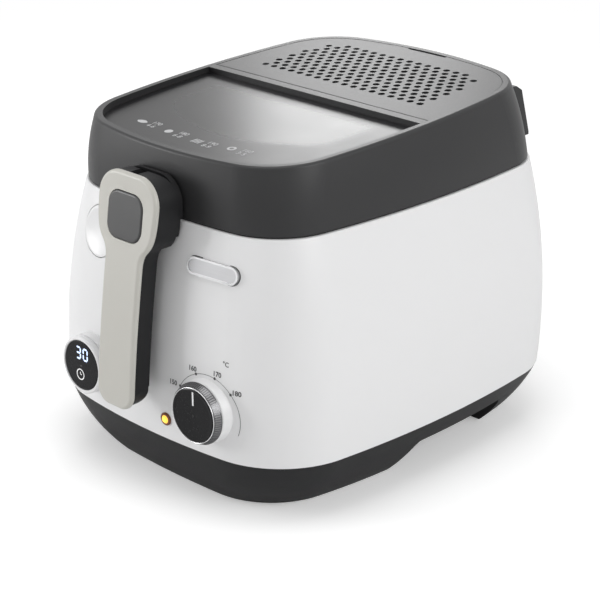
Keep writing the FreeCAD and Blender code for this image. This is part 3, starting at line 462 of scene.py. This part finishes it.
DIAL = frame_on((63.8, -166.772, 82.0), (0.05232, -0.99840, 0.02149))
DISPLAY = frame_on((-61.2, -167.072, 81.2), (0.0, -0.99980, 0.02017))
PLATE = frame_on((61.7, -155.716, 184.5), (0.10500, -0.97517, 0.19498))
LID_TOP_Z = 0.2684
LID_TILT = math.radians(2.977)
WINDOW_FRONT = (0.0, -143.0, -5.4)
WINDOW_LEAN = math.radians(0.3)
LID_TOP = Matrix.Translation((0.0, 0.0, LID_TOP_Z)) @ Matrix.Rotation(LID_TILT, 4, "X") @ Matrix.Scale(MM, 4)
WINDOW = LID_TOP @ Matrix.Translation(WINDOW_FRONT) @ Matrix.Rotation(WINDOW_LEAN, 4, "X")
print("dial at", [round(c, 3) for c in DIAL.translation])

# %% [markdown]
# ## From node tree to piece
# What repeats, such as ribs or wires, is made by a Geometry Nodes tree rather than by hundreds of
# objects. Each tree runs once and its result is kept as a plain mesh, so that the piece can ride on a
# moving body.

# %% Helpers for pieces and node trees
def add_piece(name, mesh, body, slot, place=None):
    # A finished piece has its place in its mesh and sits at the origin.
    if place is not None:
        mesh.transform(place)
    mesh.materials.clear()
    mesh.materials.append(finishes[slot])
    piece = bpy.data.objects.new(name, mesh)
    scene.collection.objects.link(piece)
    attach(piece, body)
    return piece


def settled_mesh(holder):
    # Keeps the evaluated shape of an object, and drops the object.
    scene.collection.objects.link(holder)
    bpy.context.view_layer.update()
    graph = bpy.context.evaluated_depsgraph_get()
    mesh = bpy.data.meshes.new_from_object(holder.evaluated_get(graph))
    bpy.data.objects.remove(holder)
    return mesh


def tree_mesh(name, group, start=None):
    holder = bpy.data.objects.new(name, start or bpy.data.meshes.new(name))
    step = holder.modifiers.new("tree", "NODES")
    step.node_group = group
    mesh = settled_mesh(holder)
    mesh.name = name
    return mesh


def new_tree(name, **inputs):
    group = bpy.data.node_groups.new(name, "GeometryNodeTree")
    group.interface.new_socket("Geometry", in_out="INPUT", socket_type="NodeSocketGeometry")
    for label, (kind, value) in inputs.items():
        socket = group.interface.new_socket(label, in_out="INPUT", socket_type=kind)
        socket.default_value = value
    group.interface.new_socket("Geometry", in_out="OUTPUT", socket_type="NodeSocketGeometry")
    return group, group.nodes.new("NodeGroupInput"), group.nodes.new("NodeGroupOutput")


def finish_tree(group, geometry, slot, exit_node):
    real = group.nodes.new("GeometryNodeRealizeInstances")
    paint = group.nodes.new("GeometryNodeSetMaterial")
    paint.inputs["Material"].default_value = finishes[slot]
    group.links.new(geometry, real.inputs[0])
    group.links.new(real.outputs[0], paint.inputs["Geometry"])
    group.links.new(paint.outputs[0], exit_node.inputs[0])


# %% [markdown]
# ## Ring of the dial
# The dial's ring narrows towards its black face, so its profile is turned round the dial's axis, as on a
# lathe. A Screw modifier could do that too; a short loop keeps the corners even and closes the ring. A
# fine bright bead ends it against the face.

# %% Turned ring and bead
finishes["ring_grey"] = brushed("ring_grey", (0.15, 0.15, 0.155), 0.24, (1.0, 1.0, 14.0))
RING_BORE = 20.25
RING_FOOT = 7.1
RING_FACE = 13.5
SLOPE_FOOT = (23.1, 8.5)
SLOPE_TOP = (21.25, 12.9)
RING_LINE = ((RING_BORE, RING_FOOT), (22.9, RING_FOOT), (23.3, 7.6), SLOPE_FOOT, SLOPE_TOP, (20.85, 13.4),
             (RING_BORE, RING_FACE))
BEAD_RADIUS = 20.6
BEAD_THICK = 0.34
BEAD_STEPS = 8


def turned_mesh(name, line, around=96):
    # Sweeps a closed profile of (radius, height) points round the Z axis.
    count = len(line)
    points, faces = [], []
    for i in range(around):
        turn = 2 * math.pi * i / around
        points += [(r * math.cos(turn), r * math.sin(turn), z) for r, z in line]
        start, after = i * count, (i + 1) % around * count
        for j in range(count):
            k = (j + 1) % count
            faces.append((start + j, after + j, after + k, start + k))
    return mesh_of(name, points, faces)


bead_line = []
for i in range(BEAD_STEPS):
    roll = 2 * math.pi * i / BEAD_STEPS
    bead_line.append((BEAD_RADIUS + BEAD_THICK * math.cos(roll), RING_FACE + BEAD_THICK * math.sin(roll)))
ring_piece = add_piece("dial_ring", turned_mesh("dial_ring", RING_LINE), "knob", "ring_grey", DIAL)
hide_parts("knob_ring")
bead = turned_mesh("dial_edge", bead_line)
bead.shade_smooth()
add_piece("dial_edge", bead, "knob", "knob_silver", DIAL)
print("dial ring:", len(ring_piece.data.polygons), "faces")

# %% [markdown]
# ## Knurling
# The ring has fine ribs for grip, sloping with it. They repeat round a circle, which is what Instance on
# Points is for: one small bar, tilted to the ring's slope and turned to face outwards at every point of a
# circle.

# %% Ribs round the ring
finishes["rib_grey"] = brushed("rib_grey", (0.23, 0.23, 0.235), 0.40, (1.0, 1.0, 14.0))
FLOAT = "NodeSocketFloat"
COUNT = "NodeSocketInt"
RIB_SLOPE = math.atan2(SLOPE_FOOT[0] - SLOPE_TOP[0], SLOPE_TOP[1] - SLOPE_FOOT[1])
RIB_MIDDLE = 10.7
group, entry, leave = new_tree("knurl", Ribs=(COUNT, 80), Radius=(FLOAT, 22.2), Wide=(FLOAT, 0.95),
                               Deep=(FLOAT, 0.6), Long=(FLOAT, 4.5))
circle = group.nodes.new("GeometryNodeMeshCircle")
group.links.new(entry.outputs["Ribs"], circle.inputs["Vertices"])
group.links.new(entry.outputs["Radius"], circle.inputs["Radius"])
bar_size = group.nodes.new("ShaderNodeCombineXYZ")
for side, axis in (("Deep", "X"), ("Wide", "Y"), ("Long", "Z")):
    group.links.new(entry.outputs[side], bar_size.inputs[axis])
bar = group.nodes.new("GeometryNodeMeshCube")
group.links.new(bar_size.outputs[0], bar.inputs["Size"])
lean = group.nodes.new("GeometryNodeTransform")
lean.inputs["Rotation"].default_value = (0.0, -RIB_SLOPE, 0.0)
group.links.new(bar.outputs["Mesh"], lean.inputs["Geometry"])
where = group.nodes.new("GeometryNodeInputPosition")
face_out = group.nodes.new("FunctionNodeAlignRotationToVector")
face_out.axis = "X"
group.links.new(where.outputs[0], face_out.inputs["Vector"])
copies = group.nodes.new("GeometryNodeInstanceOnPoints")
group.links.new(circle.outputs["Mesh"], copies.inputs["Points"])
group.links.new(lean.outputs["Geometry"], copies.inputs["Instance"])
group.links.new(face_out.outputs[0], copies.inputs["Rotation"])
finish_tree(group, copies.outputs[0], "rib_grey", leave)
ribs = tree_mesh("dial_ribs", group)
rib_place = DIAL @ Matrix.Translation((0.0, 0.0, RIB_MIDDLE))
rib_piece = add_piece("dial_ribs", ribs, "knob", "rib_grey", rib_place)
print("dial ribs:", len(ribs.polygons), "faces")

# %% [markdown]
# ## Printed figures
# Ink has no thickness to speak of, so the figures are flat meshes laid a tenth of a millimetre off the
# shell. A flat label would cut into the curved body, so each corner is dropped onto it with a ray along
# the control's axis.

# %% Laying flat shapes on the body
INK_LIFT = 0.12
RAY_START = 60.0


def surface_of(node_name):
    # The faces of a solid, ready to be hit by rays.
    mesh = cad[node_name].data
    return BVHTree.FromPolygons([v.co for v in mesh.vertices], [p.vertices for p in mesh.polygons])


shell_surface = surface_of("body_shell")


def lay_on_shell(mesh, place):
    inward = -(place.to_3x3() @ Vector((0.0, 0.0, 1.0))).normalized()
    for v in mesh.vertices:
        start = place @ Vector((v.co.x, v.co.y, RAY_START))
        hit = shell_surface.ray_cast(start, inward)[0]
        v.co = hit - inward * INK_LIFT * MM
    mesh.update()


print("ink lies", INK_LIFT, "mm off the shell")

# %% Flat shapes
LETTER_STEPS = 3
RING_STEPS = 48
DISC_STEPS = 16


def word_mesh(name, text, size, weight=0.0):
    curve = bpy.data.curves.new(name, "FONT")
    curve.body = text
    curve.size = size
    curve.offset = weight
    curve.align_x = "CENTER"
    curve.align_y = "CENTER"
    curve.resolution_u = LETTER_STEPS
    return settled_mesh(bpy.data.objects.new(name, curve))


def ring_mesh(name, inner, outer, start=0.0, sweep=360.0, steps=RING_STEPS):
    points = []
    for i in range(steps + 1):
        angle = math.radians(start + sweep * i / steps)
        for radius in (inner, outer):
            points.append((radius * math.sin(angle), radius * math.cos(angle), 0.0))
    faces = [(2 * i + 2, 2 * i + 3, 2 * i + 1, 2 * i) for i in range(steps)]
    return mesh_of(name, points, faces)


def disc_mesh(name, radius, steps=DISC_STEPS):
    points = []
    for i in range(steps):
        angle = 2 * math.pi * i / steps
        points.append((radius * math.cos(angle), radius * math.sin(angle), 0.0))
    return mesh_of(name, points, [tuple(range(steps))])


def join_meshes(name, meshes):
    joined = bmesh.new()
    for mesh in meshes:
        joined.from_mesh(mesh)
        bpy.data.meshes.remove(mesh)
    whole = bpy.data.meshes.new(name)
    joined.to_mesh(whole)
    joined.free()
    return whole


print("corners round a ring and a disc:", RING_STEPS, DISC_STEPS)

# %% [markdown]
# ## Temperature scale
# A thin arc round the dial carries four stops, each with a dot and its figure. The arc isn't quite
# centred on the dial, so it has a centre of its own, and each figure has its own small offset from its
# dot.

# %% Scale round the dial
# This grey prints the scale, and also paints the shade line round the plate.
finishes["grey_ink_and_shade"] = moulded("grey_ink_and_shade", (0.07, 0.07, 0.072), 0.6)
SCALE_RADIUS = 29.4
SCALE_CENTRE = Vector((0.5, -2.6, 0.0))
SCALE_START = -62.0
SCALE_SWEEP = 172.0
SCALE_STEPS = 60
SCALE_HALF_LINE = 0.18
DOT_RADIUS = 1.1
FIGURE_SIZE = 5.2
FIGURE_WEIGHT = 0.15
UNIT_SIZE = 5.0
UNIT_WEIGHT = 0.10
UNIT_SPOT = (16.8, 39.0, 0.0)
STOPS = (("150", SCALE_START, (-7.1, 0.7)), ("160", -21.4, (-3.5, 3.2)),
         ("170", 13.4, (2.0, 3.6)), ("180", 46.6, (4.7, 1.8)))
arc = ring_mesh("scale_arc", SCALE_RADIUS - SCALE_HALF_LINE, SCALE_RADIUS + SCALE_HALF_LINE,
                SCALE_START, SCALE_SWEEP, SCALE_STEPS)
arc.transform(Matrix.Translation(SCALE_CENTRE))
marks = [arc]
for figure, angle, offset in STOPS:
    turn = math.radians(angle)
    stop = SCALE_CENTRE + Vector((SCALE_RADIUS * math.sin(turn), SCALE_RADIUS * math.cos(turn), 0.0))
    dot = disc_mesh("dot", DOT_RADIUS)
    dot.transform(Matrix.Translation(stop))
    label = word_mesh("figure", figure, FIGURE_SIZE, FIGURE_WEIGHT)
    label.transform(Matrix.Translation(stop + Vector((*offset, 0.0))))
    marks += [dot, label]
unit = word_mesh("unit", "°C", UNIT_SIZE, UNIT_WEIGHT)
unit.transform(Matrix.Translation(UNIT_SPOT))
marks.append(unit)
scale = join_meshes("dial_scale", marks)
lay_on_shell(scale, DIAL)
scale_piece = add_piece("dial_scale", scale, "housing", "grey_ink_and_shade")
print("dial scale:", len(scale.vertices), "corners")

# %% [markdown]
# ## The bare plate
# The oval plate has a bright raised rim round a brushed face. A fine dark line is painted round it where
# it meets the shell, as the shade along its edge. Face and line are flat shapes of two straight runs and
# two half circles, set just over the solid plate.

# %% Plate face and painted shade line
finishes["plate_face"] = brushed("plate_face", (0.44, 0.44, 0.45), 0.34, (1.0, 1.0, 20.0))
PLATE_LONG = 47.0
PLATE_HIGH = 13.0
PLATE_RIM = 1.5
PLATE_LIFT = 1.06
FACE_PLAY = 0.3
SHADE_LINE_INNER = 0.1
SHADE_LINE_OUTER = 0.7


def oval_points(grow, steps=16):
    # The plate's outline, grown by a width all round.
    radius = PLATE_HIGH / 2 + grow
    reach = (PLATE_LONG - PLATE_HIGH) / 2
    points = []
    for half, centre in enumerate((reach, -reach)):
        for i in range(steps):
            angle = math.pi * (half + i / (steps - 1)) - math.pi / 2
            points.append((centre + radius * math.cos(angle), radius * math.sin(angle), 0.0))
    return points


face_edge = oval_points(-PLATE_RIM - FACE_PLAY / 2)
face_mesh = mesh_of("plate_face", face_edge, [tuple(range(len(face_edge)))])
face_place = PLATE @ Matrix.Translation((0.0, 0.0, PLATE_LIFT))
face_piece = add_piece("plate_face", face_mesh, "housing", "plate_face", face_place)
count = len(face_edge)
# The fine dark line round the plate, laid on the shell, is painted shade along the plate's edge.
shade_line_faces = [(i, i + count, (i + 1) % count + count, (i + 1) % count) for i in range(count)]
shade_line_mesh = mesh_of("plate_line", oval_points(SHADE_LINE_INNER) + oval_points(SHADE_LINE_OUTER), shade_line_faces)
lay_on_shell(shade_line_mesh, PLATE)
shade_line_piece = add_piece("plate_line", shade_line_mesh, "housing", "grey_ink_and_shade")
print("plate:", count, "corners round the face")

# %% [markdown]
# ## The lit timer
# The black face shows two seven-segment figures and a small clock. A segment is a long hexagon, and a
# figure lights some of its seven, so the display is drawn from a table rather than from a font.

# %% Timer figures
finishes["display_light"] = lit("display_light", (0.5, 0.6, 0.9), (0.62, 0.76, 1.0), 1.0)
DIGIT_HIGH = 9.0
DIGIT_WIDE = 4.6
BAR = 1.4
BAR_GAP = 0.2
LIT_BARS = {"3": "abcdg", "0": "abcdef"}
SHOWN = (("3", -4.9), ("0", 3.1))
FIGURES_UP = 5.3
FACE_LIFT = 13.05


def bar_corners(start, end):
    direction = (Vector(end) - Vector(start)).normalized()
    across = Vector((-direction.y, direction.x)) * BAR / 2
    tip = direction * BAR / 2
    a = Vector(start) + direction * BAR_GAP
    b = Vector(end) - direction * BAR_GAP
    ring = (a, a + tip - across, b - tip - across, b, b - tip + across, a + tip + across)
    return [(p.x, p.y, 0.0) for p in ring]


def digit_mesh(figure, left):
    low, middle, high = 0.0, DIGIT_HIGH / 2, DIGIT_HIGH
    right = left + DIGIT_WIDE
    lines = {"a": ((left, high), (right, high)), "b": ((right, high), (right, middle)),
             "c": ((right, middle), (right, low)), "d": ((left, low), (right, low)),
             "e": ((left, middle), (left, low)), "f": ((left, high), (left, middle)),
             "g": ((left, middle), (right, middle))}
    points, faces = [], []
    for bar_name in LIT_BARS[figure]:
        first = len(points)
        points += bar_corners(*lines[bar_name])
        faces.append(tuple(range(first, len(points))))
    return mesh_of("digit", points, faces)


digits = join_meshes("timer_figures", [digit_mesh(figure, left) for figure, left in SHOWN])
figures_piece = add_piece("timer_figures", digits, "timer_key", "display_light",
                          DISPLAY @ Matrix.Translation((0.0, FIGURES_UP, FACE_LIFT)))
print("timer figures:", len(digits.polygons), "lit bars")

# %% Timer clock
finishes["icon_light"] = lit("icon_light", (0.5, 0.5, 0.5), (0.8, 0.8, 0.8), 0.55)
CLOCK_INNER = 3.6
CLOCK_OUTER = 4.5
CLOCK_SPOT = (-0.9, -7.5, FACE_LIFT)
HAND_HALF = 0.5
HAND_CORNERS = 4
# Each hand has a direction, the distance of its middle and a stretch.
HANDS = ((Vector((0.0, 1.0, 0.0)), 1.1, 2.8), (Vector((1.0, 0.0, 0.0)), 0.9, 2.4))


def hand_mesh(way, middle, stretch):
    hand = disc_mesh("hand", HAND_HALF, HAND_CORNERS)
    hand.transform(Matrix.Translation(way * middle) @ Matrix.Scale(stretch, 4, way))
    return hand


clock_shapes = [ring_mesh("clock", CLOCK_INNER, CLOCK_OUTER)]
clock_shapes += [hand_mesh(*hand_row) for hand_row in HANDS]
clock = join_meshes("timer_clock", clock_shapes)
clock_piece = add_piece("timer_clock", clock, "timer_key", "icon_light",
                        DISPLAY @ Matrix.Translation(CLOCK_SPOT))
print("timer clock:", len(clock.polygons), "faces")

# %% [markdown]
# ## Guide marks on the window
# Along the window's front edge are four small pale marks with a time beside each. Here they are plain
# shapes: a leaf, a disc, a bundle of sticks and a ring, each with its own heat and minutes in figures.

# %% Shapes of the marks
LEAF_HALF = 5.2
LEAF_RISE = 2.8
LEAF_TAPER = 0.4
LEAF_STEPS = 16
STICKS = 4
STICK_FIRST = -4.2
STICK_STEP = 2.3
STICK_WIDE = 1.2
STICK_LEAN = 0.8
STICK_HALF = 3.4
DISC_RADIUS = 3.4
HOOP_INNER = 1.8
HOOP_OUTER = 3.6
HOOP_STEPS = 20


def leaf_mesh():
    points = []
    for i in range(LEAF_STEPS):
        angle = 2 * math.pi * i / LEAF_STEPS
        rise = LEAF_RISE * math.sin(angle) * abs(math.sin(angle)) ** LEAF_TAPER
        points.append((LEAF_HALF * math.cos(angle), rise, 0.0))
    return mesh_of("leaf", points, [tuple(range(LEAF_STEPS))])


def stick_mesh():
    points, faces = [], []
    for i in range(STICKS):
        foot = STICK_FIRST + STICK_STEP * i
        head = foot + STICK_LEAN
        points += [(foot, -STICK_HALF, 0.0), (foot + STICK_WIDE, -STICK_HALF, 0.0),
                   (head + STICK_WIDE, STICK_HALF, 0.0), (head, STICK_HALF, 0.0)]
        faces.append((4 * i, 4 * i + 1, 4 * i + 2, 4 * i + 3))
    return mesh_of("sticks", points, faces)


shapes = (leaf_mesh(), disc_mesh("disc", DISC_RADIUS), stick_mesh(),
          ring_mesh("hoop", HOOP_INNER, HOOP_OUTER, steps=HOOP_STEPS))
print("mark shapes:", len(shapes))

# %% Window marks
finishes["pale_ink"] = moulded("pale_ink", (0.55, 0.55, 0.56), 0.6)
MARK_SPOTS = ((-53.7, 31.3), (-21.2, 28.6), (11.4, 26.9), (42.8, 31.6))
GUIDES = (("170", "4-6"), ("180", "6-8"), ("190", "8-9"), ("160", "3-5"))
SHAPE_LEFT = 8.5
TEXT_RIGHT = 4.5
TEXT_RISE = 3.2
TEXT_SIZE = 6.4
TEXT_WEIGHT = 0.06
PRINT_LIFT = 0.08
prints = []
for (x, y), shape, guide in zip(MARK_SPOTS, shapes, GUIDES):
    shape.transform(Matrix.Translation((x - SHAPE_LEFT, y, 0.0)))
    prints.append(shape)
    for text, rise in zip(guide, (TEXT_RISE, -TEXT_RISE)):
        line = word_mesh("guide", text, TEXT_SIZE, TEXT_WEIGHT)
        line.transform(Matrix.Translation((x + TEXT_RIGHT, y + rise, 0.0)))
        prints.append(line)
window_print = join_meshes("window_marks", prints)
marks_piece = add_piece("window_marks", window_print, "lid", "pale_ink",
                        WINDOW @ Matrix.Translation((0.0, 0.0, PRINT_LIFT)))
print("window marks:", len(window_print.polygons), "faces")

# %% [markdown]
# ## Wire basket
# The CAD basket is a thin wall. The real one is woven wire, so its lines are laid out as bare edges on
# the same wall, found with level rays. A Wireframe modifier would make square wires, so a node tree turns
# every edge into round ones instead: Mesh to Curve, then Curve to Mesh.

# %% Lines of the basket
ROUNDS = 15
UPRIGHTS = 96
SETBACK = 0.0006
RAY_REACH = 0.3
LOWEST_ROUND = 0.0012
ROUND_MARGINS = 0.0022
basket_low, basket_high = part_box("basket")
MID_Y = (basket_high.y + basket_low.y) / 2
basket_surface = surface_of("basket")


def wall_point(angle, z):
    direction = Vector((math.cos(angle), math.sin(angle), 0.0))
    start = Vector((0.0, MID_Y, z)) + direction * RAY_REACH
    hit = basket_surface.ray_cast(start, -direction)[0]
    return hit - direction * SETBACK


lines = bmesh.new()
levels = []
for row in range(ROUNDS):
    z = basket_low.z + LOWEST_ROUND + (basket_high.z - basket_low.z - ROUND_MARGINS) * row / (ROUNDS - 1)
    levels.append([lines.verts.new(wall_point(2 * math.pi * i / UPRIGHTS, z)) for i in range(UPRIGHTS)])
for row, ring in enumerate(levels):
    for i, corner in enumerate(ring):
        lines.edges.new((corner, ring[(i + 1) % UPRIGHTS]))
        if row:
            lines.edges.new((levels[row - 1][i], corner))
print("wall lines:", len(lines.edges))

# %% Lines of the basket's floor
GRID = 0.0105
CROSS_RUNS = 10
LONG_RUNS = 7
FLOOR_WIRE_Z = basket_low.z + 0.0006
FLOOR_RAY_Z = basket_low.z + 0.002
WALL_TUCK = 0.001


def floor_run(fixed, along_x):
    # One straight floor wire, from wall to wall.
    span = []
    for sign in (-1.0, 1.0):
        if along_x:
            start = Vector((RAY_REACH * sign, fixed, FLOOR_RAY_Z))
            way = Vector((-sign, 0.0, 0.0))
        else:
            start = Vector((fixed, MID_Y + RAY_REACH * sign, FLOOR_RAY_Z))
            way = Vector((0.0, -sign, 0.0))
        hit = basket_surface.ray_cast(start, way)[0]
        if hit is None:
            return
        span.append(lines.verts.new((hit.x + way.x * WALL_TUCK, hit.y + way.y * WALL_TUCK, FLOOR_WIRE_Z)))
    lines.edges.new(span)


for i in range(-CROSS_RUNS, CROSS_RUNS + 1):
    floor_run(MID_Y + i * GRID, True)
for i in range(-LONG_RUNS, LONG_RUNS + 1):
    floor_run(i * GRID, False)
wire_lines = bpy.data.meshes.new("basket_lines")
lines.to_mesh(wire_lines)
lines.free()
print("all lines:", len(wire_lines.edges))

# %% Round wire along every line
WIRE = 0.0007
WIRE_SIDES = 5
group, entry, leave = new_tree("wire", Radius=(FLOAT, WIRE))
curves = group.nodes.new("GeometryNodeMeshToCurve")
group.links.new(entry.outputs["Geometry"], curves.inputs["Mesh"])
section = group.nodes.new("GeometryNodeCurvePrimitiveCircle")
section.inputs["Resolution"].default_value = WIRE_SIDES
group.links.new(entry.outputs["Radius"], section.inputs["Radius"])
tube = group.nodes.new("GeometryNodeCurveToMesh")
group.links.new(curves.outputs["Curve"], tube.inputs["Curve"])
group.links.new(section.outputs["Curve"], tube.inputs["Profile Curve"])
smooth = group.nodes.new("GeometryNodeSetShadeSmooth")
group.links.new(tube.outputs["Mesh"], smooth.inputs["Geometry"])
finish_tree(group, smooth.outputs[0], "steel", leave)
wires = tree_mesh("basket_wires", group, wire_lines)
wire_piece = add_piece("basket_wires", wires, "basket_unit", "steel")
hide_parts("basket")
print("basket wires:", len(wires.polygons), "faces")

# %% [markdown]
# ## Level lines in the tub
# Inside the tub two short lines on each long wall show how far to fill it. They could be painted by a
# material, but a strip of mesh stays sharp. Its corners are found with level rays from the tub's middle,
# so that it follows the wall.

# %% Fill lines
FILL_LEVELS = (0.118, 0.142)
FILL_HALF = 0.024
FILL_TALL = 0.0012
FILL_STEPS = 12
tub_surface = surface_of("frying_tub")
fill_points, fill_faces = [], []
for level in FILL_LEVELS:
    for side in (-1.0, 1.0):
        first = len(fill_points)
        for i in range(FILL_STEPS + 1):
            y = FILL_HALF * (2 * i / FILL_STEPS - 1)
            for z in (level, level + FILL_TALL):
                hit = tub_surface.ray_cast(Vector((0.0, y, z)), Vector((side, 0.0, 0.0)))[0]
                fill_points.append((hit.x - side * INK_LIFT * MM, hit.y, hit.z))
        for i in range(FILL_STEPS):
            a = first + 2 * i
            quad = (a, a + 1, a + 3, a + 2)
            fill_faces.append(quad if side > 0 else quad[::-1])
fill_mesh = mesh_of("fill_lines", fill_points, fill_faces)
fill_piece = add_piece("fill_lines", fill_mesh, "housing", "pale_ink")
print("fill lines:", len(fill_faces), "faces")

# %% [markdown]
# ## Screws under the base
# Six screws hold the base tray to the body. One head is modelled with a six-sided socket, from rings of
# the same number of corners, and Instance on Points sets a copy on each screw's place.

# %% Screw head
HEAD_STEPS = 24
HEAD_LINE = ((0.0036, 0.0), (0.0035, -0.0004), (0.0029, -0.0006))
SOCKET_FLAT = 0.0014
SOCKET_DEPTHS = (-0.0006, -0.0001)


def hexagon_radius(angle, flat):
    sixth = math.pi / 3
    return flat / math.cos(angle % sixth - sixth / 2)


def screw_head():
    rows = HEAD_LINE + tuple((None, z) for z in SOCKET_DEPTHS)
    points, faces = [], []
    for radius, z in rows:
        for i in range(HEAD_STEPS):
            angle = 2 * math.pi * i / HEAD_STEPS
            r = radius or hexagon_radius(angle, SOCKET_FLAT)
            points.append((r * math.cos(angle), r * math.sin(angle), z))
    for row in range(len(rows) - 1):
        for i in range(HEAD_STEPS):
            a = row * HEAD_STEPS + i
            b = row * HEAD_STEPS + (i + 1) % HEAD_STEPS
            faces.append((a, a + HEAD_STEPS, b + HEAD_STEPS, b))
    last = (len(rows) - 1) * HEAD_STEPS
    faces.append(tuple(range(last + HEAD_STEPS - 1, last - 1, -1)))
    return mesh_of("screw_head", points, faces)


head_object = bpy.data.objects.new("screw_head", screw_head())
scene.collection.objects.link(head_object)
print("screw head:", len(head_object.data.polygons), "faces")

# %% Base screws
SCREW_COLUMNS = (-0.045, 0.045)
SCREW_ROWS = (-0.118, -0.062, 0.122)
base_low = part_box("base_tray")[0]
screw_spots = [(x, y, base_low.z) for x in SCREW_COLUMNS for y in SCREW_ROWS]
group, entry, leave = new_tree("screws", Size=(FLOAT, 1.0))
source = group.nodes.new("GeometryNodeObjectInfo")
source.inputs["Object"].default_value = head_object
place_heads = group.nodes.new("GeometryNodeInstanceOnPoints")
group.links.new(entry.outputs["Geometry"], place_heads.inputs["Points"])
group.links.new(source.outputs["Geometry"], place_heads.inputs["Instance"])
group.links.new(entry.outputs["Size"], place_heads.inputs["Scale"])
finish_tree(group, place_heads.outputs[0], "steel", leave)
screws = tree_mesh("base_screws", group, mesh_of("screw_spots", screw_spots, []))
add_piece("base_screws", screws, "housing", "steel")
bpy.data.objects.remove(head_object)
print("base screws:", len(screws.polygons), "faces")
